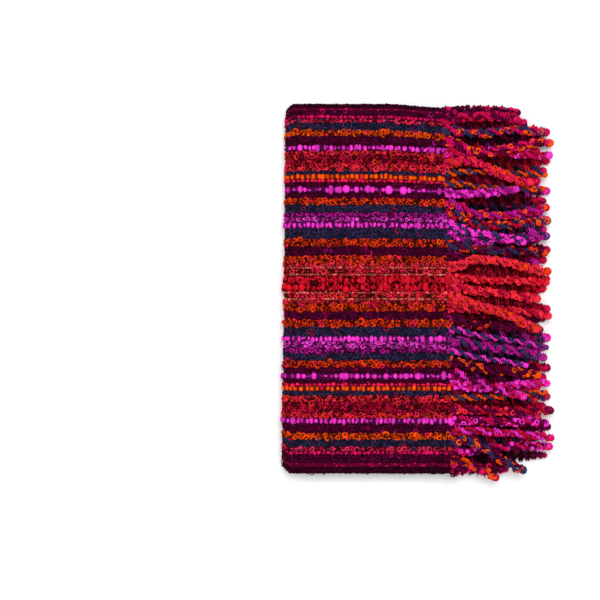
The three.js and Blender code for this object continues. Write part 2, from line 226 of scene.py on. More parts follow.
def linear(colour):
    """A screen colour, 0 to 255, as the linear light that shaders take."""
    c = np.array(colour) / 255
    return tuple(np.where(c <= 0.04045, c / 12.92, ((c + 0.055) / 1.055) ** 2.4))


print(len(DYES), "dyes")

# %% [markdown]
# ## The yarn finish
#
# Bouclé is matt and hairy, with a soft sheen at grazing angles. Two things vary over it:
# the depth of its dye, to which each piece adds its painted shade, and the tiny relief of its
# twisted fibres. Both come from one node group, which every yarn uses with its own values.
# The bright and deep tones, the sheen and the roughness are set on each material itself, and
# the deep tone is also the colour of the painted shade.


# %% Fibre group
def new_group(name, inputs, outputs):
    """An empty shader group with its named sockets, and its input and output nodes."""
    group = bpy.data.node_groups.new(name, "ShaderNodeTree")
    for socket, kind in inputs:
        group.interface.new_socket(socket, in_out="INPUT", socket_type=kind)
    for socket, kind in outputs:
        group.interface.new_socket(socket, in_out="OUTPUT", socket_type=kind)
    return group, group.nodes.new("NodeGroupInput"), group.nodes.new("NodeGroupOutput")


def link(tree, *pairs):
    """Joins each pair's output socket to its input socket."""
    for out_socket, in_socket in pairs:
        tree.links.new(out_socket, in_socket)


def maths(tree, operation, first, second=None):
    """A Math node. Each value is a socket or a number."""
    node = tree.nodes.new("ShaderNodeMath")
    node.operation = operation
    for socket, value in zip(node.inputs, (first, second)):
        if value is None:
            continue
        if isinstance(value, (int, float)):
            socket.default_value = value
        else:
            tree.links.new(value, socket)
    return node.outputs[0]


def group_node(tree, group):
    """Places a group in a tree."""
    node = tree.nodes.new("ShaderNodeGroup")
    node.node_tree = group
    return node


def bump_node(tree, strength, distance):
    """A Bump node, which turns a height into slopes that catch the light."""
    node = tree.nodes.new("ShaderNodeBump")
    node.inputs["Strength"].default_value = strength
    node.inputs["Distance"].default_value = distance
    return node


def noise(tree, coordinates, scale, detail):
    """A Noise Texture. Its scale is a socket or a number."""
    node = tree.nodes.new("ShaderNodeTexNoise")
    node.inputs["Detail"].default_value = detail
    if isinstance(scale, (int, float)):
        node.inputs["Scale"].default_value = scale
    else:
        tree.links.new(scale, node.inputs["Scale"])
    tree.links.new(coordinates, node.inputs["Vector"])
    return node.outputs["Fac"]


MOTTLE_SCALE = 210.0
MOTTLE_DETAIL = 1.0
MOTTLE_SHARE = 0.7
HAIR_DETAIL = 3.0
HAIR_SHARE = 0.5

fibre, fibre_in, fibre_out = new_group(
    "Bouclé Fibre",
    [("Fibre Scale", "NodeSocketFloat"), ("Tint", "NodeSocketFloat")],
    [("Tone", "NodeSocketFloat"), ("Height", "NodeSocketFloat")],
)
place = fibre.nodes.new("ShaderNodeTexCoord").outputs["Object"]
hairs = noise(fibre, place, fibre_in.outputs["Fibre Scale"], HAIR_DETAIL)
mottle = noise(fibre, place, MOTTLE_SCALE, MOTTLE_DETAIL)
mottled = maths(fibre, "MULTIPLY", mottle, MOTTLE_SHARE)
# The Tint input carries each piece's own tone and its painted shade.
drift = maths(fibre, "ADD", mottled, fibre_in.outputs["Tint"])
streaks = maths(fibre, "MULTIPLY", hairs, HAIR_SHARE)
tone = maths(fibre, "ADD", drift, streaks)
link(fibre, (tone, fibre_out.inputs["Tone"]), (hairs, fibre_out.inputs["Height"]))
print("group:", fibre.name)


# %% Yarn materials
# A Mix node has a set of sockets for each kind of data. These are the ones for colours.
MIX_AMOUNT = 0
MIX_FIRST = 6
MIX_SECOND = 7
MIX_COLOUR = 2


def blended(tree, amount, deep, bright):
    """The bright colour laid over the deep one by amount."""
    node = tree.nodes.new("ShaderNodeMix")
    node.data_type = "RGBA"
    node.clamp_factor = True
    link(tree, (amount, node.inputs[MIX_AMOUNT]))
    for place, value in ((MIX_FIRST, deep), (MIX_SECOND, bright)):
        if isinstance(value, tuple):
            node.inputs[place].default_value = (*value, 1.0)
        else:
            tree.links.new(value, node.inputs[place])
    return node.outputs[MIX_COLOUR]


DYE_RETURN = 0.9
DEEP_DYE_AND_SHADE = 0.1
DEEP_DYE_AND_SHADE_SATURATION = 1.25
FIBRE_SCALE = 1500.0
FIBRE_BUMP = 0.35
BUMP_DISTANCE = 0.0006
YARN_ROUGHNESS = 0.85
YARN_SHEEN = 0.08
YARN_SHEEN_ROUGHNESS = 0.45
YARN_SPECULAR = 0.04


def yarn_material(dye):
    """The finish of one dyed yarn. Each piece's own tone makes its copies differ, and it also
    carries their painted shade.
    """
    material = bpy.data.materials.new(f"boucle_{dye}")
    material.use_nodes = True
    tree = material.node_tree
    shader = tree.nodes["Principled BSDF"]
    shader.inputs["Roughness"].default_value = YARN_ROUGHNESS
    shader.inputs["Sheen Weight"].default_value = YARN_SHEEN
    shader.inputs["Sheen Roughness"].default_value = YARN_SHEEN_ROUGHNESS
    shader.inputs["Specular IOR Level"].default_value = YARN_SPECULAR
    bright = tuple(DYE_RETURN * channel for channel in linear(DYES[dye]))
    shader.inputs["Sheen Tint"].default_value = (*bright, 1.0)
    tone_and_shade = tree.nodes.new("ShaderNodeAttribute")
    tone_and_shade.attribute_name = "tone_and_shade"
    group = group_node(tree, fibre)
    group.inputs["Fibre Scale"].default_value = FIBRE_SCALE
    # The deep tone is both the deeper dye and the colour of painted shade, more saturated as
    # shaded yarn looks.
    deep = tuple(DEEP_DYE_AND_SHADE * channel**DEEP_DYE_AND_SHADE_SATURATION for channel in bright)
    colour = blended(tree, group.outputs["Tone"], deep, bright)
    bump = bump_node(tree, FIBRE_BUMP, BUMP_DISTANCE)
    link(
        tree,
        (tone_and_shade.outputs["Fac"], group.inputs["Tint"]),
        (colour, shader.inputs["Base Color"]),
        (group.outputs["Height"], bump.inputs["Height"]),
        (bump.outputs["Normal"], shader.inputs["Normal"]),
    )
    return material


YARNS = {dye: yarn_material(dye) for dye in DYES}
YARN_NUMBER = {dye: number for number, dye in enumerate(DYES)}
print("yarns:", len(YARNS))

# %% [markdown]
# ## The stripe chart
#
# A weaver's chart lists the bands from the middle of the cloth to a selvedge: the yarn, how
# it is worked, and its width in millimetres on the front and the back half. The back half
# was beaten a little tighter. The order of the bands is the same on both.
#
# "curl" is a row of open loops, "nub" a row of fat beads, "popcorn" one row of very uneven
# nubs, "cluster" several rows of them, "block" square floats, "bead" small nubs, "dash" thin
# bright picks, "broken" the same with gaps, "loose" open loops among fine ones, and "plain"
# is close bouclé with fine curls.

# %% Stripe chart
MM = 0.001
STRIPE_COLUMNS = ("yarn", "work", "front", "back")
STRIPE_CHART = [
    ("scarlet", "cluster", 7.5, 7.5),
    ("coral", "dash", 2.5, 3.0),
    ("red", "curl", 3.8, 4.2),
    ("coral", "dash", 3.0, 3.0),
    ("red", "curl", 3.2, 2.8),
    ("flame", "curl", 7.5, 7.5),
    ("maroon", "plain", 8.4, 9.2),
    ("flame", "curl", 7.4, 7.8),
    ("navy", "plain", 9.7, 10.4),
    ("magenta", "nub", 4.5, 6.6),
    ("orchid", "curl", 7.0, 5.0),
    ("plum", "curl", 5.0, 4.5),
    ("navy", "plain", 7.5, 8.0),
    ("flame", "curl", 6.5, 6.0),
    ("maroon", "plain", 6.0, 6.0),
    ("magenta", "popcorn", 6.0, 5.0),
    ("maroon", "plain", 4.0, 5.0),
    ("cerise", "bead", 3.0, 3.0),
    ("orange", "block", 5.0, 5.0),
    ("navy", "plain", 4.7, 3.5),
    ("red", "curl", 5.8, 7.0),
    ("crimson", "loose", 11.5, 8.5),
    ("red", "curl", 5.2, 5.0),
    ("magenta", "nub", 5.2, 5.0),
    ("maroon", "plain", 9.6, 9.5),
    ("orange", "curl", 6.3, 5.5),
    ("navy", "plain", 7.2, 7.0),
    ("rose", "curl", 5.0, 5.0),
    ("raspberry", "bead", 2.5, 3.0),
    ("maroon", "plain", 9.0, 5.0),
    ("raspberry", "broken", 3.5, 2.0),
    ("wine", "plain", 7.0, 4.5),
]
STRIPES = [dict(zip(STRIPE_COLUMNS, row)) for row in STRIPE_CHART]
FRONT_HALF = sum(stripe["front"] for stripe in STRIPES) * MM
BACK_HALF = sum(stripe["back"] for stripe in STRIPES) * MM


def bands():
    """Every band across the cloth as yarn, work, start and end, from front to back."""
    found = []
    for side, sign in (("front", -1), ("back", 1)):
        edge = 0.0
        for stripe in STRIPES:
            start, edge = edge, edge + stripe[side] * MM
            low, high = sorted((sign * start, sign * edge))
            found.append((stripe["yarn"], stripe["work"], low, high))
    return sorted(found, key=lambda band: band[2])


BANDS = bands()
print("cloth width:", round(FRONT_HALF + BACK_HALF, 3), "m in", len(BANDS), "bands")

# %% [markdown]
# ## How the cloth is folded
#
# Folding a strip in half three times gives eight layers. Followed from one woven end to the
# other, the cloth runs along the top, round the outside of the thick left fold, along the
# table, round the lower right fold, and so on inwards until it comes out under the top
# layer. Each stretch is a straight run or a half turn, so the whole route is a short table.
# A turn is its radius in layer pitches, positive where it goes the same way as the first one.

# %% The folded route
FOLDED_LENGTH = 0.163
LAYER_PITCH = 0.0032
SEAM_GAP = 0.0003
WALL = LAYER_PITCH - SEAM_GAP
LAYERS = 8
STACK = LAYERS * LAYER_PITCH
# A fold's radius, in layer pitches, to the middle of its cloth.
LEFT_FOLD_RADIUS = 3.5
LOWER_FOLD_RADIUS = 1.5
LOWER_FOLD_PROUD = 0.001
SECOND_END_PROUD = 0.0015
FOLD_CENTRE_X = STACK / 2
LOWER_FOLD_X = FOLDED_LENGTH + LOWER_FOLD_PROUD - 2 * LAYER_PITCH
MIDDLE_FOLD_X = 0.158
SECOND_END_X = FOLDED_LENGTH + SECOND_END_PROUD
TOP_RUN = FOLDED_LENGTH - FOLD_CENTRE_X
LOWER_RUN = LOWER_FOLD_X - FOLD_CENTRE_X
MIDDLE_RUN = MIDDLE_FOLD_X - FOLD_CENTRE_X

ROUTE = [
    {"run": TOP_RUN, "steps": 38},
    {"turn": LEFT_FOLD_RADIUS, "steps": 20},
    {"run": LOWER_RUN, "steps": 8},
    {"turn": LOWER_FOLD_RADIUS, "steps": 12},
    {"run": LOWER_RUN, "steps": 8},
    {"turn": -0.5, "steps": 8},
    {"run": MIDDLE_RUN, "steps": 8},
    {"turn": 0.5, "steps": 8},
    {"run": MIDDLE_RUN, "steps": 8},
    {"turn": 1.5, "steps": 10},
    {"run": LOWER_RUN, "steps": 8},
    {"turn": -0.5, "steps": 8},
    {"run": LOWER_RUN, "steps": 8},
    {"turn": -2.5, "steps": 12},
    {"run": SECOND_END_X - FOLD_CENTRE_X, "steps": 16},
]


def walk(route):
    """Stations along the route: distance, x, z and heading, close enough to interpolate."""
    distance, x, z, heading = 0.0, FOLDED_LENGTH, STACK - LAYER_PITCH / 2, math.pi
    stations = [(distance, x, z, heading)]
    for leg in route:
        for _ in range(leg["steps"]):
            if "run" in leg:
                step = leg["run"] / leg["steps"]
                x += step * math.cos(heading)
                z += step * math.sin(heading)
            else:
                radius = abs(leg["turn"]) * LAYER_PITCH
                bend = math.copysign(math.pi / leg["steps"], leg["turn"])
                step = radius * abs(bend)
                chord = 2 * radius * math.sin(abs(bend) / 2)
                x += chord * math.cos(heading + bend / 2)
                z += chord * math.sin(heading + bend / 2)
                heading += bend
            distance += step
            stations.append((distance, x, z, heading))
    return np.array(stations)


STATIONS = walk(ROUTE)
CLOTH_LENGTH = float(STATIONS[-1, 0])
LEFT_FOLD_LENGTH = math.pi * LEFT_FOLD_RADIUS * LAYER_PITCH
print("woven length:", round(CLOTH_LENGTH, 3), "m")


# %% The askew stack
FOLD_SKEW = 0.002
END_SKEW = -0.005
END_BOW = -0.002
FOLD_DRAW = 0.032
FOLD_DRAW_REACH = 0.004
FOLD_DRAW_SHARPNESS = 6
END_NARROWING = 0.02
NARROWS_FROM = 0.1
TABLE_CLEARANCE = 0.0002


def lay(x, y, z, origin=(0.0, 0.0)):
    """A point of an ideal, square stack, moved to where it lies in the real one."""
    along = x / FOLDED_LENGTH
    across = y / FRONT_HALF
    fold_line = FOLD_SKEW * across * (1 - along)
    end_line = (END_SKEW * across + END_BOW * across**2) * along
    corner = np.abs(across) ** FOLD_DRAW_SHARPNESS
    drawn_in = FOLD_DRAW * np.exp(-((x / FOLD_DRAW_REACH) ** 2)) * corner
    narrower = np.where(y > 0, END_NARROWING * smoothstep(x, NARROWS_FROM, FOLDED_LENGTH), 0)
    left = x + fold_line + end_line + origin[0]
    return np.stack([left, y * (1 - drawn_in - narrower) + origin[1], z], axis=-1)


# The solids say where the real stack stands: its lower fold reaches furthest right at the
# front, and its front selvedge is straight along most of its length.
outer_low, outer_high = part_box("outer_layer")
lower_fold_reach = LOWER_FOLD_X + 2 * LAYER_PITCH - SEAM_GAP / 2
furthest = lay(np.array(lower_fold_reach), np.array(-FRONT_HALF), np.array(0.0))
ORIGIN = (outer_high.x - float(furthest[0]), outer_low.y + FRONT_HALF)
print("stack origin:", [round(value, 4) for value in ORIGIN])


def cloth_frame(u, v, h):
    """Places, directions along the warp and outward directions, for points u along the warp,
    v across it and h above the middle of the cloth's thickness."""
    x = np.interp(u, STATIONS[:, 0], STATIONS[:, 1])
    z = np.interp(u, STATIONS[:, 0], STATIONS[:, 2])
    heading = np.interp(u, STATIONS[:, 0], STATIONS[:, 3])
    along = np.stack([np.cos(heading), 0 * heading, np.sin(heading)], axis=-1)
    outward = np.stack([np.sin(heading), 0 * heading, -np.cos(heading)], axis=-1)
    x = x + h * outward[..., 0]
    z = np.maximum(z + h * outward[..., 2], TABLE_CLEARANCE)
    return lay(x, v, z, ORIGIN), along, outward


# %% [markdown]
# ## The woven panel
#
# The panel is one sheet, so it is made as one sheet: a flat grid the size that came off the
# loom, given its thickness by Solidify, and then folded by carrying every point along the
# route. Before it is folded its UV map is written in metres, along and across the warp, so
# that the stripes stay on their threads round every fold. Its rows of points lie on the
# edges of the bands and a quarter of the way in, so each band can stand a little proud.

# %% Flat panel
RELIEF = {"cluster": 0.8, "popcorn": 0.8, "nub": 0.7, "curl": 0.45, "block": 0.5,
          "bead": 0.3, "dash": 0.2, "plain": 0.0, "loose": 0.4, "broken": 0.2}
row_places, row_relief = [], []
for yarn, work, low, high in BANDS:
    row_places += [low, (low * 3 + high) / 4, (low + high * 3) / 4]
    row_relief += [0.0, RELIEF[work] * MM, RELIEF[work] * MM]
row_places.append(BACK_HALF)
row_relief.append(0.0)
column_places = STATIONS[:, 0]

deselect_all()
bpy.ops.mesh.primitive_grid_add(
    x_subdivisions=len(column_places) - 1, y_subdivisions=len(row_places) - 1, size=1.0
)
panel = added("woven_panel")
grid = points_of(panel.data)
column = np.rint((grid[:, 0] + 0.5) * (len(column_places) - 1)).astype(int)
row = np.rint((grid[:, 1] + 0.5) * (len(row_places) - 1)).astype(int)
flat = np.stack([column_places[column], np.array(row_places)[row], 0 * column], axis=-1)
move_points(panel.data, flat)

corner_vertex = np.empty(len(panel.data.loops), int)
panel.data.loops.foreach_get("vertex_index", corner_vertex)
panel.data.uv_layers.active.name = "warp"
panel.data.uv_layers.active.data.foreach_set("uv", flat[corner_vertex, :2].ravel())
apply_modifier(panel, "SOLIDIFY", thickness=WALL, offset=0.0)
print("flat panel:", len(panel.data.polygons), "faces")

# %% [markdown]
# ### Folding it
#
# The outer face shows on the top, round the left fold and on the lower right fold. On the top
# and most of the way round the left fold the bands are raised. Elsewhere, as where the cloth
# lies on the table or on its own layers, they are pressed flat. Selvedges never line up
# exactly, so each layer wanders in and out by a millimetre.

# %% Fold the panel
RAISED_ANGLE = math.radians(100)
RAISED_FADE = 0.008
SWELL_HEIGHT = 0.0005
SWELL_ALONG = 0.034
SWELL_ACROSS = 0.047
SELVEDGE_WANDER = 0.0012
SELVEDGE_SHARPNESS = 12
# The waves in which a selvedge wanders: the length of each, and its share.
WANDER_WAVES = ((0.021, 0.4), (0.0061, 0.25))
LAYER_WANDER = 2.1
HIDDEN_FROM = 2.2 * FOLDED_LENGTH
HIDDEN_TO = 2.6 * FOLDED_LENGTH
SHOWN_WANDER = 0.3
HIDDEN_DRAW = 0.9


def raised(u):
    """1 where the outer face is free to stand up, and 0 where it is pressed flat."""
    free_to = TOP_RUN + LEFT_FOLD_RADIUS * LAYER_PITCH * RAISED_ANGLE
    return 1 - smoothstep(u, free_to, free_to + RAISED_FADE)


def swell(u, v):
    """How far the top stands up at a point, for it is nowhere quite level."""
    return SWELL_HEIGHT * (1 + np.sin(u / SWELL_ALONG) * np.cos(v / SWELL_ACROSS)) / 2


def band_height(u, v):
    """How far the outer face stands up at a point, by its band and by the swell."""
    return raised(u) * (np.interp(v, row_places, row_relief) + swell(u, v))


def selvedge_draw(u):
    """How far out a selvedge lies. The hidden layers wander more, and lie further in."""
    layer = np.floor(u / FOLDED_LENGTH)
    wander = np.sin(layer * LAYER_WANDER)
    for length, share in WANDER_WAVES:
        wander = wander + share * np.sin(u / length)
    hidden = smoothstep(u, HIDDEN_FROM, HIDDEN_TO)
    by_layer = SHOWN_WANDER + (1 - SHOWN_WANDER) * hidden
    return SELVEDGE_WANDER * (wander * by_layer - HIDDEN_DRAW * hidden)


flat = points_of(panel.data)
u, v, h = flat[:, 0], flat[:, 1], flat[:, 2]
h = h + np.where(h > 0, band_height(u, v), 0)
edge = (np.abs(v) / np.where(v < 0, FRONT_HALF, BACK_HALF)) ** SELVEDGE_SHARPNESS
folded, _, _ = cloth_frame(u, v + np.sign(v) * edge * selvedge_draw(u), h)
move_points(panel.data, folded)
face_outwards(panel)
bpy.ops.object.shade_smooth()
print("folded panel:", [round(side, 3) for side in panel.dimensions])

# %% [markdown]
# ### The panel's material
#
# Between the curls the eye sees the ground of the weave: the same stripes, painted darker as
# the shade of the curls, most where they crowd, with the weft crossing every couple of
# millimetres. The stripe colours come from two colour ramps with hard steps, one for each
# half, whose stops are worked out from the chart. The weave is a fine grid of ups and downs
# on the same UV map, and its gaps are painted darker as shade.

# %% Stripe group
WEFT_PITCH = 0.0025
WARP_PITCH = 0.0016
# The ground's painted light under each kind of work: the more copies, the deeper its painted
# shade.
PAINTED_GROUND_LIGHT = {"cluster": 0.1, "popcorn": 0.15, "nub": 0.15, "curl": 0.1, "block": 0.2,
                "bead": 0.3, "dash": 0.25, "plain": 0.34, "loose": 0.2, "broken": 0.3}

stripes, stripes_in, stripes_out = new_group(
    "Warp Stripes",
    [("Across", "NodeSocketFloat")],
    [("Color", "NodeSocketColor"), ("Light", "NodeSocketFloat")],
)


def half_ramp(side, half_width):
    """A ramp with one hard stop for each band of a half, from the cloth's middle outwards. A
    stop's alpha holds the ground's painted light there, low where curls crowd and shade it."""
    node = stripes.nodes.new("ShaderNodeValToRGB")
    node.color_ramp.interpolation = "CONSTANT"
    stops = node.color_ramp.elements
    edge = 0.0
    for number, stripe in enumerate(STRIPES):
        position = edge / half_width
        if number == 0:
            stop = stops[0]
        elif number == 1:
            stop = stops[1]
            stop.position = position
        else:
            stop = stops.new(position)
        stop.color = (*linear(DYES[stripe["yarn"]]), PAINTED_GROUND_LIGHT[stripe["work"]])
        edge += stripe[side] * MM
    return node


front_ramp = half_ramp("front", FRONT_HALF)
back_ramp = half_ramp("back", BACK_HALF)
across = stripes_in.outputs["Across"]
front_share = maths(stripes, "DIVIDE", across, -FRONT_HALF)
back_share = maths(stripes, "DIVIDE", across, BACK_HALF)
link(stripes, (front_share, front_ramp.inputs["Fac"]), (back_share, back_ramp.inputs["Fac"]))
is_back = maths(stripes, "GREATER_THAN", across, 0.0)
striped = blended(stripes, is_back, front_ramp.outputs["Color"], back_ramp.outputs["Color"])
is_front = maths(stripes, "SUBTRACT", 1.0, is_back)
front_light = maths(stripes, "MULTIPLY", front_ramp.outputs["Alpha"], is_front)
back_light = maths(stripes, "MULTIPLY", back_ramp.outputs["Alpha"], is_back)
light = maths(stripes, "ADD", front_light, back_light)
link(stripes, (striped, stripes_out.inputs["Color"]), (light, stripes_out.inputs["Light"]))

weave, weave_in, weave_out = new_group(
    "Plain Weave",
    [("Along", "NodeSocketFloat"), ("Across", "NodeSocketFloat")],
    [("Height", "NodeSocketFloat")],
)
pick_angle = maths(weave, "MULTIPLY", weave_in.outputs["Along"], math.pi / WEFT_PITCH)
picks = maths(weave, "SINE", pick_angle)
end_angle = maths(weave, "MULTIPLY", weave_in.outputs["Across"], math.pi / WARP_PITCH)
ends = maths(weave, "SINE", end_angle)
crossing = maths(weave, "MULTIPLY", picks, ends)
half_crossing = maths(weave, "MULTIPLY", crossing, 0.5)
over = maths(weave, "ADD", half_crossing, 0.5)
link(weave, (over, weave_out.inputs["Height"]))
print("groups:", stripes.name, "and", weave.name)

# %% Panel material
# The weave's height also sets the ground's colour: painted shade in the gaps between threads,
# painted light where they cross.
CROSSING_PAINTED_LIGHT = 0.75
GAP_PAINTED_LIGHT = 0.35
GROUND_ROUGHNESS = 0.95
GROUND_SPECULAR = 0.05
GROUND_HAIR = 0.6
GROUND_BUMP = 0.8
GROUND_BUMP_DISTANCE = 0.0012

ground = bpy.data.materials.new("woven_ground")
ground.use_nodes = True
tree = ground.node_tree
shader = tree.nodes["Principled BSDF"]
shader.inputs["Roughness"].default_value = GROUND_ROUGHNESS
shader.inputs["Specular IOR Level"].default_value = GROUND_SPECULAR
uv_map = tree.nodes.new("ShaderNodeUVMap")
uv_map.uv_map = "warp"
parts = tree.nodes.new("ShaderNodeSeparateXYZ")
stripe_node = group_node(tree, stripes)
weave_node = group_node(tree, weave)
fibre_node = group_node(tree, fibre)
fibre_node.inputs["Fibre Scale"].default_value = FIBRE_SCALE
darker = tree.nodes.new("ShaderNodeMix")
darker.data_type = "RGBA"
darker.blend_type = "MULTIPLY"
darker.inputs[MIX_AMOUNT].default_value = 1.0
link(
    tree,
    (uv_map.outputs["UV"], parts.inputs["Vector"]),
    (parts.outputs["Y"], stripe_node.inputs["Across"]),
    (parts.outputs["X"], weave_node.inputs["Along"]),
    (parts.outputs["Y"], weave_node.inputs["Across"]),
    (stripe_node.outputs["Color"], darker.inputs[MIX_FIRST]),
)
# The ground's colour: painted shade of the weave and of the curls, times the yarn's own tone.
shade = maths(tree, "MULTIPLY", weave_node.outputs["Height"], CROSSING_PAINTED_LIGHT)
shade = maths(tree, "ADD", shade, GAP_PAINTED_LIGHT)
shade = maths(tree, "MULTIPLY", shade, fibre_node.outputs["Tone"])
shade = maths(tree, "MULTIPLY", shade, stripe_node.outputs["Light"])
tinted = tree.nodes.new("ShaderNodeCombineColor")
for channel in ("Red", "Green", "Blue"):
    link(tree, (shade, tinted.inputs[channel]))
hair_height = maths(tree, "MULTIPLY", fibre_node.outputs["Height"], GROUND_HAIR)
relief_height = maths(tree, "ADD", weave_node.outputs["Height"], hair_height)
bump = bump_node(tree, GROUND_BUMP, GROUND_BUMP_DISTANCE)
link(
    tree,
    (tinted.outputs["Color"], darker.inputs[MIX_SECOND]),
    (darker.outputs[MIX_COLOUR], shader.inputs["Base Color"]),
    (relief_height, bump.inputs["Height"]),
    (bump.outputs["Normal"], shader.inputs["Normal"]),
)
panel.data.materials.append(ground)
print("material:", ground.name)

# %% [markdown]
# ## One curl, one nub, one block
#
# Thousands of curls and nubs cover the cloth. Each kind is modelled once, with a few dozen
# faces, and shaped so that it looks caught in the weave: a curl's one side dips under, a nub
# is flattened below and dimpled on top, a block is a square float with soft edges, and a
# float is a thin bead pinched at its ends.


# %% Masters
def master(name):
    """Takes the newest primitive off the scene and keeps its points and faces."""
    piece = added(name)
    bpy.ops.object.mode_set(mode="OBJECT")
    points = points_of(piece.data)
    faces = [tuple(face.vertices) for face in piece.data.polygons]
    mesh = piece.data
    bpy.data.objects.remove(piece)
    bpy.data.meshes.remove(mesh)
    return points, faces


def select_where(piece, chosen):
    """Selects, in edit mode, the vertices whose place passes the test."""
    bpy.ops.object.mode_set(mode="EDIT")
    bpy.ops.mesh.select_all(action="DESELECT")
    bpy.ops.object.mode_set(mode="OBJECT")
    for vertex in piece.data.vertices:
        vertex.select = bool(chosen(vertex.co))
    bpy.ops.object.mode_set(mode="EDIT")


def lay_along_x():
    """Turns the newest primitive, in edit mode, from upright to lie along the X axis."""
    bpy.ops.object.mode_set(mode="EDIT")
    bpy.ops.mesh.select_all(action="SELECT")
    bpy.ops.transform.rotate(value=math.pi / 2, orient_axis="Y", center_override=(0, 0, 0))


# A curl's neck and crown start at this part of its radius on either side of its middle.
NECK_FROM = 0.4
NECK_NARROWED = 0.6
NECK_SHIFT = 0.05
CROWN_LIFT = 0.35
NUB_FOOT_FROM = -0.3 * MM
NUB_FOOT_SCALE = (0.9, 0.9, 0.5)
NUB_TOP_FROM = 0.95 * MM
NUB_DIMPLE = (0.1 * MM, 0, -0.15 * MM)
BLOCK_BEVEL = 0.42 * MM
BLOCK_TOP_FROM = 0.9 * MM
BLOCK_TOP_SCALE = (0.92, 0.92, 1)


def curl_master(name, radius, wire, around, sides):
    """A loop of yarn: round on one side, and drawn to a neck that dives into the cloth."""
    deselect_all()
    bpy.ops.mesh.primitive_torus_add(
        major_radius=radius, minor_radius=wire, major_segments=around, minor_segments=sides
    )
    select_where(bpy.context.object, lambda co: co.x < -NECK_FROM * radius)
    bpy.ops.transform.resize(value=(1, NECK_NARROWED, 1), center_override=(0, 0, 0))
    bpy.ops.transform.translate(value=(NECK_SHIFT * radius, 0, -wire))
    select_where(bpy.context.object, lambda co: co.x > NECK_FROM * radius)
    bpy.ops.transform.translate(value=(0, 0, CROWN_LIFT * wire))
    return master(name)


def nub_master(name, segments, rings):
    """A bead one millimetre in radius, squashed below, with a dimple in its top."""
    deselect_all()
    bpy.ops.mesh.primitive_uv_sphere_add(segments=segments, ring_count=rings, radius=MM)
    select_where(bpy.context.object, lambda co: co.z < NUB_FOOT_FROM)
    bpy.ops.transform.resize(value=NUB_FOOT_SCALE)
    select_where(bpy.context.object, lambda co: co.z > NUB_TOP_FROM)
    bpy.ops.transform.translate(value=NUB_DIMPLE)
    return master(name)


def block_master(name):
    """A square float two millimetres across, bevelled, and a little smaller on top."""
    deselect_all()
    bpy.ops.mesh.primitive_cube_add(size=2 * MM)
    apply_modifier(bpy.context.object, "BEVEL", width=BLOCK_BEVEL, segments=1)
    select_where(bpy.context.object, lambda co: co.z > BLOCK_TOP_FROM)
    bpy.ops.transform.resize(value=BLOCK_TOP_SCALE)
    return master(name)


def float_master(name):
    """A yarn that lies over a weft: a thin bead two millimetres long, pinched at its ends."""
    deselect_all()
    bpy.ops.mesh.primitive_uv_sphere_add(segments=5, ring_count=4, radius=MM)
    lay_along_x()
    return master(name)


SHAPES = {
    "curl": curl_master("curl", 1.65 * MM, 0.74 * MM, 9, 4),
    "fine_curl": curl_master("fine_curl", 1.85 * MM, 0.46 * MM, 8, 3),
    "small_curl": curl_master("small_curl", 1.15 * MM, 0.5 * MM, 7, 3),
    "nub": nub_master("nub", 8, 5),
    "block": block_master("block"),
    "float": float_master("float"),
}
for label, (points, faces) in SHAPES.items():
    print(label, "has", len(faces), "faces")

# %% [markdown]
# ### Where they stand
#
# Each kind of work is one or more layers of copies. A layer says which shape it uses, how far
# apart its rows and its copies are in millimetres, what share of the places is taken, how
# large the copies are along, across and up, how uneven, how high they sit, how much lighter
# they are, and how far they stray from their row. Rows run along the warp, with about one
# copy to every two weft picks, and the next row starts half a step along, as the loom leaves
# it. Now and then a strand of another dye shows, because the yarn was plied from mixed ends.

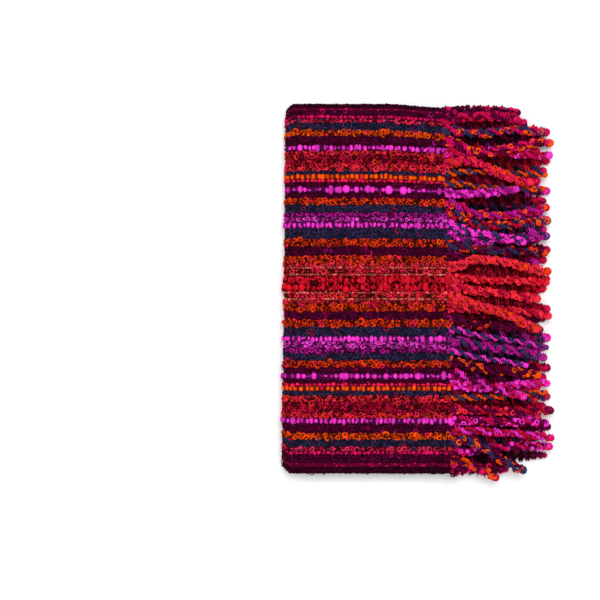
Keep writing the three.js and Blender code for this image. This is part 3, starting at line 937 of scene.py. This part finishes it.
# %% The kinds of work
LAYER_COLUMNS = ("shape", "row", "pitch", "share", "size", "uneven", "lift", "tone_and_shade", "stray")
WORK_LAYERS = {
    "curl": [
        ("curl", 3.4, 5.0, 0.88, (1, 1, 1), 0.25, 0.45, 0, 0.3),
        ("float", 1.7, 2.5, 0.4, (1.1, 0.5, 0.45), 0.2, 0.1, 0, 0.3),
        ("nub", 3.4, 7.5, 0.5, (1.3, 1.2, 1.0), 0.25, 0.45, 0, 0.3),
    ],
    "plain": [
        ("fine_curl", 3.1, 4.1, 0.75, (1, 1, 1), 0.22, 0.3, 0.12, 0.3),
        ("float", 2.1, 2.5, 0.45, (0.95, 0.4, 0.35), 0.2, 0.05, 0, 0.3),
    ],
    "loose": [
        ("curl", 3.6, 5.0, 0.55, (1, 1, 1), 0.3, 0.4, 0, 0.3),
        ("fine_curl", 3.1, 4.1, 0.5, (1, 1, 1), 0.22, 0.3, 0.12, 0.3),
        ("nub", 3.6, 9.1, 0.4, (1.3, 1.2, 1.0), 0.25, 0.4, 0, 0.3),
    ],
    "broken": [
        ("float", 1.8, 3.7, 0.45, (1.3, 0.7, 0.6), 0.3, 0.25, 0, 0.3),
    ],
    "nub": [
        ("nub", 9.0, 4.5, 0.97, (1.9, 2.7, 1.7), 0.24, 0.5, 0, 0.3),
        ("nub", 3.0, 6.1, 0.5, (1.1, 1.2, 1.2), 0.2, 0.3, 0, 0.3),
    ],
    "popcorn": [
        ("nub", 9.0, 5.3, 0.95, (2.3, 2.7, 1.9), 0.4, 0.5, 0, 0.3),
        ("float", 9.0, 2.5, 0.8, (1.2, 0.6, 0.5), 0.2, 0.2, 0, 0.3),
    ],
    "cluster": [
        ("nub", 6.6, 5.6, 0.93, (2.1, 3.2, 1.8), 0.28, 0.6, 0, 1.3),
        ("nub", 2.5, 3.9, 0.7, (1.0, 1.3, 1.0), 0.25, 0.3, 0, 0.3),
        ("curl", 5.5, 6.7, 0.75, (1.3, 1.7, 1), 0.25, 1.2, 0, 1.5),
    ],
    "bead": [
        ("nub", 9.0, 4.4, 0.97, (1.9, 1.6, 1.2), 0.15, 0.3, 0, 0.3),
    ],
    "block": [
        ("block", 9.0, 5.0, 1.0, (1.7, 2.1, 1.3), 0.07, 0.2, 0, 0.3),
        ("curl", 9.0, 17.0, 0.5, (1.1, 1.1, 1), 0.15, 1.3, 0, 0.3),
    ],
    "dash": [
        ("float", 9.0, 2.6, 0.97, (1.15, 1.15, 0.8), 0.2, 0.35, 0, 0.3),
        ("float", 2.0, 2.5, 0.3, (0.8, 0.5, 0.4), 0.2, 0.1, 0, 0.3),
    ],
}
WORKS = {work: [dict(zip(LAYER_COLUMNS, layer)) for layer in layers]
         for work, layers in WORK_LAYERS.items()}
# The share of a yarn's copies that show another dye, and which dyes those are.
STRAYS = {
    "coral": (0.4, ("red", "red", "scarlet")),
    "rose": (0.35, ("cerise", "red", "raspberry", "navy")),
    "flame": (0.14, ("red", "orange", "cerise")),
    "orange": (0.12, ("flame", "cerise")),
    "orchid": (0.3, ("magenta", "magenta", "plum")),
    "red": (0.25, ("flame", "scarlet", "flame", "cerise")),
    "crimson": (0.3, ("red", "flame", "raspberry", "scarlet")),
    "navy": (0.08, ("maroon", "plum", "crimson")),
    "maroon": (0.12, ("plum", "wine", "wine", "raspberry")),
}
print("kinds of work:", ", ".join(WORKS))

# %% Plan the rows
chance = np.random.default_rng(20)
LOWER_FOLD_START = TOP_RUN + LEFT_FOLD_LENGTH + LOWER_RUN
LEFT_FOLD_SHOWN_TO = math.radians(140)
LOWER_FOLD_SHOWN_FROM = math.radians(50)
SHOWN_STRETCHES = [
    (-0.001, TOP_RUN + LEFT_FOLD_RADIUS * LAYER_PITCH * LEFT_FOLD_SHOWN_TO),
    (LOWER_FOLD_START + LOWER_FOLD_RADIUS * LAYER_PITCH * LOWER_FOLD_SHOWN_FROM,
     LOWER_FOLD_START + LOWER_FOLD_RADIUS * LAYER_PITCH * math.pi),
]
FIRST_PLACE = 0.2
ROW_SHIFT = 0.5
PLACE_SPREAD = 0.12


def row_of_places(layer, number):
    """Where the copies of one row stand along the warp."""
    pitch = layer["pitch"] * MM
    places = []
    for start, end in SHOWN_STRETCHES:
        first = start + pitch * (FIRST_PLACE + ROW_SHIFT * (number % 2))
        places.append(np.arange(first, end, pitch))
    places = np.concatenate(places)
    places = places[chance.uniform(size=len(places)) < layer["share"]]
    return places + chance.normal(0, PLACE_SPREAD * pitch, len(places))


SIZE_LIMITS = (-2, 2.4)
STRETCH = 0.13
STRETCH_LIMITS = (-0.3, 0.3)
TINT_SPREAD = 0.2


def plan_layer(layer, low, high):
    """A row for each copy: place along and across, three sizes, spin, tip and tint."""
    rows = max(1, round((high - low) / MM / layer["row"]))
    found = []
    for number in range(rows):
        places = row_of_places(layer, number)
        count = len(places)
        middle = low + (high - low) * (number + 0.5) / rows
        size = 1 + layer["uneven"] * chance.standard_normal(count).clip(*SIZE_LIMITS)
        length, width, height = layer["size"]
        found.append(np.stack([
            places,
            middle + chance.normal(0, layer["stray"] * MM, count),
            size * length * (1 + chance.normal(0, STRETCH, count).clip(*STRETCH_LIMITS)),
            size * width * (1 + chance.normal(0, STRETCH, count).clip(*STRETCH_LIMITS)),
            size * height,
            chance.uniform(-1, 1, count),
            chance.normal(0, 1, count),
            layer["tone_and_shade"] + chance.normal(0, TINT_SPREAD, count),
        ], axis=-1))
    return np.concatenate(found)


PLAN = [
    (yarn, work, layer, plan_layer(layer, low, high))
    for yarn, work, low, high in BANDS
    for layer in WORKS[work]
]
print("copies on the cloth:", sum(len(places) for *_, places in PLAN))


# %% [markdown]
# ### Making the copies
#
# Copying by hand would take a day, so the copies of one kind are joined into one mesh by
# array arithmetic. Every copy of the master is scaled, turned about the cloth's outward
# direction, tipped, and set down on the cloth. Each carries a tone, with painted shade towards
# its foot, where its neighbours keep the light out, and painted light on its top.


# %% Copying
def turned_copies(points, along, outward, spin, tip):
    """The master's points in each copy's own frame. along and outward are unit vectors."""
    across = np.cross(outward, along)
    first = along * np.cos(spin)[:, None] + across * np.sin(spin)[:, None]
    second = np.cross(outward, first)
    tipped = outward * np.cos(tip)[:, None] + first * np.sin(tip)[:, None]
    first = first * np.cos(tip)[:, None] - outward * np.sin(tip)[:, None]
    return (points[..., 0:1] * first[:, None] + points[..., 1:2] * second[:, None]
            + points[..., 2:3] * tipped[:, None])


# Painted shade at the foot of every copy, and painted light on its top.
FOOT_PAINTED_SHADE = 0.5
TOP_PAINTED_LIGHT = 0.2


def above_table(copies):
    """Copies with any point that would dip into the table lifted to just above it."""
    copies[..., 2] = np.maximum(copies[..., 2], TABLE_CLEARANCE)
    return copies


def shaded(points, tone_and_shade):
    """Each copy's tone at every point: painted shade at the master's foot, painted light on top.
    """
    height = points[:, 2] - points[:, 2].min()
    rise = height / height.max()
    return tone_and_shade[:, None] + (TOP_PAINTED_LIGHT + FOOT_PAINTED_SHADE) * rise[None, :] - FOOT_PAINTED_SHADE


def with_strays(yarn, count):
    """Mostly one yarn's number, with the odd one of another."""
    numbers = np.full(count, YARN_NUMBER[yarn])
    if yarn in STRAYS:
        share, others = STRAYS[yarn]
        strays = chance.choice([YARN_NUMBER[other] for other in others], count)
        numbers = np.where(chance.uniform(size=count) < share, strays, numbers)
    return numbers


def joined(name, groups):
    """One piece from groups of copies: points (copies, vertices, 3), faces, a yarn number for
    each copy and a tone, with its painted shade, for each of its points."""
    all_points, all_faces, yarn_of_face, tone_and_shade_of_point = [], [], [], []
    offset = 0
    for points, faces, yarn, tone_and_shade in groups:
        copies, size = points.shape[:2]
        all_points.append(points.reshape(-1, 3))
        for copy in range(copies):
            shift = offset + copy * size
            all_faces.extend([tuple(corner + shift for corner in face) for face in faces])
        yarn_of_face.append(np.repeat(yarn, len(faces)))
        tone_and_shade_of_point.append(tone_and_shade.ravel())
        offset += copies * size
    mesh = bpy.data.meshes.new(name)
    mesh.from_pydata(np.concatenate(all_points).tolist(), [], all_faces)
    used, slots = np.unique(np.concatenate(yarn_of_face), return_inverse=True)
    for number in used:
        mesh.materials.append(YARNS[list(DYES)[number]])
    mesh.polygons.foreach_set("material_index", slots.astype(np.int32))
    mesh.attributes.new("tone_and_shade", "FLOAT", "POINT")
    mesh.attributes["tone_and_shade"].data.foreach_set("value", np.concatenate(tone_and_shade_of_point))
    mesh.update()
    piece = bpy.data.objects.new(name, mesh)
    bpy.context.scene.collection.objects.link(piece)
    face_outwards(piece)
    bpy.ops.object.shade_smooth()
    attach(piece, "root")
    triangles = sum(len(face.vertices) - 2 for face in mesh.polygons)
    print(name, "has", triangles, "triangles")
    return piece


# How far a copy is spun and tipped on the cloth, in radians: a round one by any amount, and
# a long one only a little, so that it still follows its row.
ROUND_SHAPES = ("curl", "fine_curl")
ROUND_SPIN = math.pi
ROUND_TIP = 0.3
LONG_SPIN = 0.15
LONG_TIP = 0.12


def placed(yarn, layer, plan):
    """One layer of a band's copies, set on the cloth."""
    u, v, length, width, height, spin, tip, tone_and_shade = plan.T
    points, faces = SHAPES[layer["shape"]]
    sizes = np.stack([length, width, height], axis=-1)[:, None, :]
    is_round = layer["shape"] in ROUND_SHAPES
    ground_height = WALL / 2 + band_height(u, v)
    middle, along, outward = cloth_frame(u, v, ground_height + layer["lift"] * MM)
    spin = spin * (ROUND_SPIN if is_round else LONG_SPIN)
    tip = tip * (ROUND_TIP if is_round else LONG_TIP)
    copies = turned_copies(points * sizes, along, outward, spin, tip) + middle[:, None, :]
    return above_table(copies), faces, with_strays(yarn, len(plan)), shaded(points, tone_and_shade)


# %% Curls, nubs and floats on the cloth
CLOTH_PIECES = {
    "maroon_curls": [("maroon", "plain"), ("wine", "plain")],
    "navy_curls": [("navy", "plain")],
    "crimson_curls": [("crimson", "loose"), ("red", "curl"), ("rose", "curl")],
    "flame_curls": [("flame", "curl")],
    "orange_curls": [("orange", "curl"), ("orange", "block")],
    "orchid_curls": [("orchid", "curl"), ("plum", "curl")],
    "magenta_nubs": [("magenta", "nub"), ("magenta", "popcorn")],
    "scarlet_nubs": [("scarlet", "cluster")],
    "beads_and_floats": [("cerise", "bead"), ("coral", "dash"), ("raspberry", "bead"),
                         ("raspberry", "broken")],
}
for name, kinds in CLOTH_PIECES.items():
    groups = [
        placed(yarn, layer, plan) for yarn, work, layer, plan in PLAN if (yarn, work) in kinds
    ]
    joined(name, groups)

# %% [markdown]
# ### Selvedges
#
# At each selvedge the weft turns back on itself, so the edge of every layer is a row of small
# loops. They stand upright along the whole length of the cloth, and from the side they draw
# the eight layers.

# %% Selvedge turns
TURN_PITCH = 0.0034
TURN_SPREAD = 0.0004
TURN_TIP = 0.35
TURN_TINT = 0.13
# The share of the turns that are maroon. The others are wine.
MAROON_TURNS = 0.2

turn_places = np.arange(TURN_PITCH, CLOTH_LENGTH, TURN_PITCH)
turn_groups = []
for edge_place, outwards in ((-FRONT_HALF, -1.0), (BACK_HALF, 1.0)):
    count = len(turn_places)
    u = turn_places + chance.normal(0, TURN_SPREAD, count)
    v = np.full(count, edge_place) + outwards * selvedge_draw(u)
    middle, along, _ = cloth_frame(u, v, 0 * u)
    outward = np.tile((0.0, outwards, 0.0), (count, 1))
    spin = chance.uniform(-math.pi, math.pi, count)
    tip = chance.normal(0, TURN_TIP, count)
    points, faces = SHAPES["small_curl"]
    copies = turned_copies(points[None], along, outward, spin, tip) + middle[:, None, :]
    is_maroon = chance.uniform(size=count) < MAROON_TURNS
    yarns = np.where(is_maroon, YARN_NUMBER["maroon"], YARN_NUMBER["wine"])
    tone_and_shade = shaded(points, chance.normal(0, TURN_TINT, count))
    turn_groups.append((above_table(copies), faces, yarns, tone_and_shade))
selvedge_turns = joined("selvedge_turns", turn_groups)

# %% [markdown]
# ## The fringes
#
# The warp ends are gathered a centimetre at a time and twisted into ropes, each with a knot
# at its tip. A rope is two plies wound on each other, and a ply is two strands of bouclé. The
# two strands of one straight ply are modelled with the Screw modifier, and bent along each
# rope's route, once for each of its plies. Some yarns are spun with more curls, or with nubs,
# and their ropes are lumpier.

# %% One straight ply
PLY_LENGTH = 0.1
STRAND_RADIUS = 0.0014
STRAND_OFFSET = 0.00115
STRAND_TURNS = 14
STRAND_STEPS = 5
STRAND_SIDES = 5
STRAND_ROUGH = 0.22 * MM
STRAND_ROUGH_EVENLY = 0.6
STRAND_SEED = 7


def strand(start_angle):
    """A circle beside the X axis, swept round it by Screw into one strand of a ply."""
    deselect_all()
    bpy.ops.mesh.primitive_circle_add(vertices=STRAND_SIDES, radius=STRAND_RADIUS)
    piece = bpy.context.object
    lay_along_x()
    offset = (0, STRAND_OFFSET * math.cos(start_angle), STRAND_OFFSET * math.sin(start_angle))
    bpy.ops.transform.translate(value=offset)
    bpy.ops.object.mode_set(mode="OBJECT")
    apply_modifier(piece, "SCREW", axis="X", angle=2 * math.pi * STRAND_TURNS,
                   screw_offset=PLY_LENGTH, steps=STRAND_TURNS * STRAND_STEPS,
                   render_steps=STRAND_TURNS * STRAND_STEPS, use_merge_vertices=False)
    bpy.ops.object.mode_set(mode="EDIT")
    bpy.ops.mesh.select_all(action="SELECT")
    bpy.ops.mesh.fill_holes(sides=STRAND_SIDES)
    bpy.ops.mesh.select_all(action="SELECT")
    bpy.ops.transform.vertex_random(
        offset=STRAND_ROUGH, uniform=STRAND_ROUGH_EVENLY, seed=STRAND_SEED
    )
    return master("strand")


STRANDS = [strand(0.0), strand(math.pi)]
print("a strand has", len(STRANDS[0][1]), "faces")

# %% [markdown]
# ### Where the ropes run
#
# Both fringes lie loosely on the table. The ropes of the upper end lie on those of the lower
# one, and some cross over their neighbours. Each row gives where a rope runs across the
# cloth's width at its root, a third and two thirds of the way and its tip, how far it reaches,
# and how high and over which part of its length it rides on other ropes. These are in
# millimetres, but for the parts of the length, from 0 to 1. Then come the dyes of its two
# plies and of its odd curls, and how it was spun. The under ropes are pressed wide and flat
# by the upper ones.

# %% Rope table
ROPE_COLUMNS = ("root", "third", "late", "tip", "reach", "crest", "from", "to", "ply_a",
                "ply_b", "curls", "spun")
UPPER_ROPES = [
    (176, 176, 175, 173, 237, 0, 0, 1, "maroon", "wine", "raspberry", "twist"),
    (167, 167, 168, 165, 234, 9, 0.08, 1, "maroon", "raspberry", "crimson", "curl"),
    (157, 152, 155, 153, 262, 0, 0, 1, "navy", "raspberry", "orange", "curl"),
    (146, 131, 138, 142, 271, 9.5, 0.02, 0.6, "raspberry", "maroon", "orange", "curl"),
    (134, 134, 132, 130, 270, 0, 0, 1, "raspberry", "crimson", "magenta", "curl"),
    (123, 122, 109, 102, 248, 9.5, 0.12, 1, "red", "raspberry", "flame", "curl"),
    (113, 113, 112, 110, 266, 0, 0, 1, "navy", "orange", "red", "tight"),
    (103, 98, 96, 96, 264, 0, 0, 1, "orange", "navy", "flame", "tight"),
    (93, 90, 92, 95, 234, 9.5, 0.1, 1, "magenta", "plum", "magenta", "nub"),
    (82, 70, 70, 78, 267, 0, 0, 1, "raspberry", "plum", "orange", "twist"),
    (71, 59, 60, 64, 268, 0, 0, 1, "navy", "crimson", "orange", "curl"),
    (61, 51, 47, 41, 241, 9.5, 0.08, 1, "magenta", "navy", "magenta", "nub"),
    (50, 43, 46, 48, 267, 0, 0, 1, "plum", "navy", "magenta", "curl"),
    (39, 34, 33, 31, 265, 0, 0, 1, "navy", "maroon", "flame", "curl"),
    (28, 24, 23, 21, 256, 0, 0, 1, "maroon", "wine", "plum", "twist"),
    (17, 24, 19, 12, 266, 10, 0.02, 1, "red", "red", "flame", "curl"),
    (6, 4, 3, 1, 267, 0, 0, 1, "red", "scarlet", "red", "nub"),
    (-4, -7, -11, -16, 257, 0, 0, 1, "red", "crimson", "red", "curl"),
    (-14, -22, -32, -47, 254, 9.5, 0.08, 1, "red", "red", "flame", "curl"),
    (-24, -26, -28, -33, 269, 0, 0, 1, "red", "crimson", "red", "twist"),
    (-35, -42, -43, -47, 260, 0, 0, 1, "maroon", "wine", "flame", "curl"),
    (-46, -53, -58, -65, 267, 0, 0, 1, "navy", "magenta", "plum", "tight"),
    (-57, -63, -68, -75, 264, 0, 0, 1, "navy", "plum", "plum", "curl"),
    (-68, -74, -78, -83, 246, 0, 0, 1, "navy", "magenta", "magenta", "tight"),
    (-79, -85, -89, -92, 258, 0, 0, 1, "maroon", "wine", "orange", "curl"),
    (-90, -99, -106, -114, 241, 9.5, 0.08, 1, "magenta", "maroon", "raspberry", "twist"),
    (-101, -105, -102, -101, 268, 0, 0, 1, "magenta", "raspberry", "magenta", "nub"),
    (-114, -115, -112, -110, 266, 0, 0, 1, "orange", "navy", "flame", "tight"),
    (-126, -128, -128, -128, 271, 0, 0, 1, "crimson", "maroon", "red", "curl"),
    (-137, -139, -140, -141, 266, 0, 0, 1, "maroon", "raspberry", "magenta", "curl"),
    (-148, -149, -152, -156, 272, 0, 0, 1, "magenta", "crimson", "raspberry", "nub"),
    (-159, -160, -176, -187, 241, 9.5, 0.08, 1, "navy", "maroon", "orange", "curl"),
    (-169, -167, -164, -165, 270, 0, 0, 1, "maroon", "raspberry", "magenta", "twist"),
    (-178, -180, -187, -195, 213, 9, 0.06, 1, "orange", "maroon", "raspberry", "twist"),
    (-187, -187, -187, -187, 224, 0, 0, 1, "maroon", "wine", "raspberry", "twist"),
]
UNDER_COUNT = 37
UNDER_FRONT = -185
UNDER_BACK = 175
UNDER_REACH = 265
UNDER_UNEVEN = 6
UNDER_WANDER = 0.4
UNDER_WAVES = (1.7, 2.3, 1.1)
REACH_WAVE = 2.1
FRONT_SHORTER = 38
FRONT_SHORTER_OVER = 12
BACK_SHORTER = 27
BACK_SHORTER_OVER = 20
# The second and the last of them show against the table, so they are thin.
THIN_UNDER_ROPES = (1, UNDER_COUNT - 1)
# Under the upper fringe, bright yarns are swapped for darker dyes, as painted shade.
DARKER_AS_SHADE = {"orange": "raspberry", "flame": "crimson", "coral": "red"}
UNDER_SPINNING = ("twist", "curl", "twist", "nub")


def band_yarn(v):
    """The yarn of the band at v millimetres across the cloth."""
    return next(yarn for yarn, _, low, high in BANDS if low <= v * MM <= high)


def under_ropes():
    """The ropes of the under fringe, nearly straight, and shorter at both selvedges. Their
    dyes are those of the bands that they leave, with bright ones swapped for darker dyes as
    painted shade."""
    for number in range(UNDER_COUNT):
        root = UNDER_FRONT + (UNDER_BACK - UNDER_FRONT) * number / (UNDER_COUNT - 1)
        at_front = 1 - smoothstep(root, UNDER_FRONT, UNDER_FRONT + FRONT_SHORTER_OVER)
        at_back = smoothstep(root, UNDER_BACK - BACK_SHORTER_OVER, UNDER_BACK)
        shorter = FRONT_SHORTER * at_front + BACK_SHORTER * at_back
        third, late, tip = [root + UNDER_WANDER * math.sin(wave * number) for wave in UNDER_WAVES]
        reach = UNDER_REACH + UNDER_UNEVEN * math.sin(REACH_WAVE * number) - shorter
        spun = UNDER_SPINNING[number % len(UNDER_SPINNING)]
        if number in THIN_UNDER_ROPES:
            spun = "tight"
        plies = [DARKER_AS_SHADE.get(band_yarn(root + near), band_yarn(root + near)) for near in (-2, 3)]
        yield (root, third, late, tip, reach, 0, 0, 1, *plies, "raspberry", spun)


# A tier is one of the two fringes: the heights at which its ropes leave the cloth and lie on
# the table, the part of their length over which they fall, where the cloth ends, how much
# dressing they have, how fat and how lumpy their strands are, and, at four places along a
# rope, how wide and how high it is pressed and how light it is. The under ropes are painted
# darker along their middle, as the shade of the upper fringe, and not at their bare tips.
UPPER_TIER = {"z": STACK - WALL / 2, "lie": 14.6 * MM, "fall": (0.08, 0.34),
              "end": FOLDED_LENGTH, "dressing": 1.45, "strands": 1.0,
              "lumps": 0.42, "width": (1.3, 1.05, 1.05, 1.0),
              "height": (0.42, 0.93, 0.93, 0.93), "tone_and_shade": (0.2, 0.2, 0.2, 0.2)}
UNDER_TIER = {"z": STACK - LAYER_PITCH - SEAM_GAP / 2 - WALL / 2, "lie": 5.1 * MM,
              "fall": (0.0, 0.22), "end": SECOND_END_X, "dressing": 1.35, "strands": 1.28,
              "lumps": 0.15, "width": (1.75, 2.2, 2.15, 1.1),
              "height": (0.42, 0.78, 0.78, 0.85), "tone_and_shade": (-0.75, -0.65, -0.65, 0.1)}
STATED_AT = (0.03, 0.2, 0.72, 0.95)
ROOT_BACK = 0.0023
LEAVES_STRAIGHT = 0.25
RISE = 0.2


def through_four(s, values):
    """A smooth curve through four values at 0, 1/3, 2/3 and 1."""
    p, q, r, t = values
    u = 3 * s
    first = p * (1 - u) * (2 - u) * (3 - u) / 6
    second = q * u * (2 - u) * (3 - u) / 2
    third = -r * u * (1 - u) * (3 - u) / 2
    last = t * u * (1 - u) * (2 - u) / 6
    return first + second + third + last


def rope_line(part, tier, s):
    """A rope's middle line, at s from 0 at its root to 1 at its tip."""
    root = lay(np.array(tier["end"] + ROOT_BACK), np.array(part["root"] * MM), np.array(0.0))
    course = through_four(s, (root[1], part["third"] * MM, part["late"] * MM, part["tip"] * MM))
    y = root[1] + (course - root[1]) * smoothstep(s, 0, LEAVES_STRAIGHT)
    fall = smoothstep(s, *tier["fall"])
    up = smoothstep(s, part["from"], part["from"] + RISE)
    down = smoothstep(s, part["to"], part["to"] + RISE) if part["to"] < 1 else 0
    z = tier["z"] + (tier["lie"] - tier["z"]) * fall + part["crest"] * MM * up * (1 - down)
    x = root[0] + (part["reach"] * MM - root[0]) * s
    return np.stack([x + ORIGIN[0], y + ORIGIN[1], z], axis=-1)


print(len(UPPER_ROPES), "upper and", UNDER_COUNT, "under ropes")

# %% [markdown]
# ### Bending the plies along a rope
#
# A rope's own frame is its direction, a level side and an up direction. Each point of a
# straight strand is carried to its share of the rope's length, and out to its ply's place in
# the twist. Near the root the rope is flat, because its yarns still lie side by side. The
# plies swell and shrink as they go, and the deep middle of the twist takes painted shade.


# %% Plies
PLY_OFFSET = 0.0021
TWIST_PITCH = 0.021
TWIST_UNEVEN = 0.5
TWIST_WAVE = 0.011
# The waves in which a strand swells: the length of each, and its share.
LUMPS = ((0.0057, 0.6), (0.0033, 0.4))
FATNESS = {"twist": 1.0, "curl": 1.05, "nub": 0.9, "tight": 0.72}
ROPE_RADIUS = 0.0045
STARTS_AT = -0.04
KNOT_AT = 0.955
TWIST_SHADE_RISE = 0.9
TWIST_SHADE_FROM = 0.7
PLY_TINT_SPREAD = 0.06


def rope_frame(part, tier, s):
    """A rope's middle line and its directions along, sideways and up, at s."""
    here = rope_line(part, tier, s)
    ahead = rope_line(part, tier, s + 0.01) - rope_line(part, tier, s - 0.01)
    along = ahead / np.linalg.norm(ahead, axis=-1, keepdims=True)
    side = np.cross((0.0, 0.0, 1.0), along)
    side /= np.linalg.norm(side, axis=-1, keepdims=True)
    return here, along, side, np.cross(along, side)


def along_rope(tier, name, s):
    """A tier's width, height or tint, from the roots to the bare tips."""
    return np.interp(s, STATED_AT, tier[name])


def lumps(distance):
    """How a strand swells along its length, from -1 to 1, with a pattern of its own."""
    starts = chance.uniform(0, 2 * math.pi, len(LUMPS))
    waves = [share * np.sin(2 * math.pi * distance / pitch + start)
             for (pitch, share), start in zip(LUMPS, starts)]
    return sum(waves)


def rope_plies(part, tier, dyes):
    """The four strands of one rope, as groups for joined()."""
    line = rope_line(part, tier, np.linspace(0, 1, 40))
    length = np.linalg.norm(np.diff(line, axis=0), axis=1).sum()
    start, wandering = chance.uniform(0, 2 * math.pi, 2)
    fat = FATNESS[part["spun"]]
    groups = []
    for ply, dye in enumerate(dyes):
        for points, faces in STRANDS:
            share = points[:, 0] / PLY_LENGTH
            distance = share * length
            s = STARTS_AT + share * (KNOT_AT - STARTS_AT)
            here, _, side, up = rope_frame(part, tier, s)
            phase = start + ply * math.pi + 2 * math.pi * distance / (TWIST_PITCH * fat)
            phase = phase + TWIST_UNEVEN * np.sin(distance / TWIST_WAVE + wandering)
            swollen = tier["strands"] * (1 + tier["lumps"] * lumps(distance))
            sideways = fat * (PLY_OFFSET * np.cos(phase) + swollen * points[:, 1])
            upwards = fat * (PLY_OFFSET * np.sin(phase) + swollen * points[:, 2])
            wide = along_rope(tier, "width", s) * sideways
            tall = along_rope(tier, "height", s) * upwards
            bent = here + side * wide[:, None] + up * tall[:, None]
            # Painted shade: points deep in the twist, near the rope's middle, are darker.
            from_middle = np.hypot(sideways, upwards) / (fat * ROPE_RADIUS)
            tone_and_shade = TWIST_SHADE_RISE * (from_middle - TWIST_SHADE_FROM)
            tone_and_shade = tone_and_shade + along_rope(tier, "tone_and_shade", s) + chance.normal(0, PLY_TINT_SPREAD)
            groups.append((bent[None], faces, np.array([dye]), tone_and_shade[None]))
    return groups


# %% [markdown]
# ### Curls, nubs and knots of a rope
#
# How a yarn was spun shows in its rope: a plain twist has a few curls, a curly one has many,
# a nubby one is a string of beads, and a tight one is thin and nearly smooth. Every rope ends
# in a knot: a fat nub with loops of yarn wound round it and one loop on top.

# %% Rope dressing
SPINNING = {
    "twist": {"curl": 12, "small_curl": 12, "nub": 3},
    "curl": {"curl": 22, "small_curl": 6, "nub": 4},
    "nub": {"curl": 6, "small_curl": 4, "nub": 16},
    "tight": {"curl": 2, "small_curl": 3, "nub": 0},
}
STANDS_AT = {"curl": 3.3 * MM, "small_curl": 3.8 * MM, "nub": 2.9 * MM}
SIZES = {"curl": (1.05, 1.6), "small_curl": (1.0, 1.6), "nub": (1.9, 2.9)}
DRESSING_WIDEST = 1.4
DRESSED_PART = 0.97
DRESSED_FROM = -0.02
DRESSING_TIP = 0.4
# A tint here is its middle value and its spread.
DRESSING_TINT = (0.22, 0.14)
KNOT_MIDDLE = 0.975
KNOT_LEAN = 0.25
KNOT_TINT = (0.15, 0.1)
KNOT_CORE = 4.2
KNOT_TURNS = (-1.6 * MM, 0.4 * MM)
KNOT_LOOP_SIZE = 1.85
KNOT_TOP_SIZE = 1.5
KNOT_TOP_HEIGHT = 2.6 * MM


def rope_dressing(part, tier, dyes, shape, count):
    """Copies of one shape that stand all round a rope."""
    points, faces = SHAPES[shape]
    step = (np.arange(count) + chance.uniform(0.1, 0.9, count)) / count
    s = step * DRESSED_PART + DRESSED_FROM
    here, along, side, up = rope_frame(part, tier, s)
    angle = chance.uniform(0, 2 * math.pi, count)
    outward = side * np.cos(angle)[:, None] + up * np.sin(angle)[:, None]
    stands_at = FATNESS[part["spun"]] * STANDS_AT[shape]
    width = np.minimum(along_rope(tier, "width", s), DRESSING_WIDEST)
    sideways = width * stands_at * np.cos(angle)
    upwards = along_rope(tier, "height", s) * stands_at * np.sin(angle)
    middle = here + side * sideways[:, None] + up * upwards[:, None]
    size = chance.uniform(*SIZES[shape], count)[:, None, None]
    spin = chance.uniform(-math.pi, math.pi, count)
    tip = chance.normal(0, DRESSING_TIP, count)
    copies = turned_copies(points[None] * size, along, outward, spin, tip)
    copies = above_table(copies + middle[:, None, :])
    tone_and_shade = along_rope(tier, "tone_and_shade", s) + chance.normal(*DRESSING_TINT, count)
    return copies, faces, chance.choice(dyes, count), shaded(points, tone_and_shade)


def rope_knot(part, tier, dyes):
    """The knot at a rope's tip, as groups for joined()."""
    here, along, side, up = (value[None] for value in rope_frame(part, tier, KNOT_MIDDLE))
    fat = FATNESS[part["spun"]]
    lean = chance.normal(0, KNOT_LEAN, 1)
    copies = [(SHAPES["nub"], KNOT_CORE, side, up, 0 * along)]
    for place in KNOT_TURNS:
        copies.append((SHAPES["curl"], KNOT_LOOP_SIZE, side, along, along * place))
    top = up * KNOT_TOP_HEIGHT - along * MM
    copies.append((SHAPES["curl"], KNOT_TOP_SIZE, along, up, top))
    groups = []
    for (points, faces), size, first, outward, shift in copies:
        knot = turned_copies(points[None] * size * fat, first, outward, lean, 0.8 * lean)
        knot = above_table(knot + (here + fat * shift)[:, None, :])
        tone_and_shade = tier["tone_and_shade"][-1] + chance.normal(*KNOT_TINT, 1)
        groups.append((knot, faces, chance.choice(dyes, 1), shaded(points, tone_and_shade)))
    return groups


def fringe(name, ropes, tier, node):
    """Every rope of one fringe, joined into one piece that stands for its CAD node."""
    groups = []
    for rope in ropes:
        part = dict(zip(ROPE_COLUMNS, rope))
        plies = [YARN_NUMBER[part["ply_a"]], YARN_NUMBER[part["ply_b"]]]
        dyes = [*plies, YARN_NUMBER[part["curls"]], YARN_NUMBER[part["curls"]]]
        groups += rope_plies(part, tier, plies)
        for shape, count in SPINNING[part["spun"]].items():
            count = round(count * tier["dressing"])
            groups.append(rope_dressing(part, tier, dyes, shape, count))
        groups += rope_knot(part, tier, dyes)
    piece = joined(name, groups)
    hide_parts(node)
    return piece


upper_fringe = fringe("upper_fringe", UPPER_ROPES, UPPER_TIER, "fringe_top")
under_fringe = fringe("under_fringe", under_ropes(), UNDER_TIER, "fringe_under")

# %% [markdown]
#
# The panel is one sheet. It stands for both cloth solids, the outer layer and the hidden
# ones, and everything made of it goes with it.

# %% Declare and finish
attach(panel, "root")
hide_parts("outer_layer", "hidden_layers")
deselect_all()
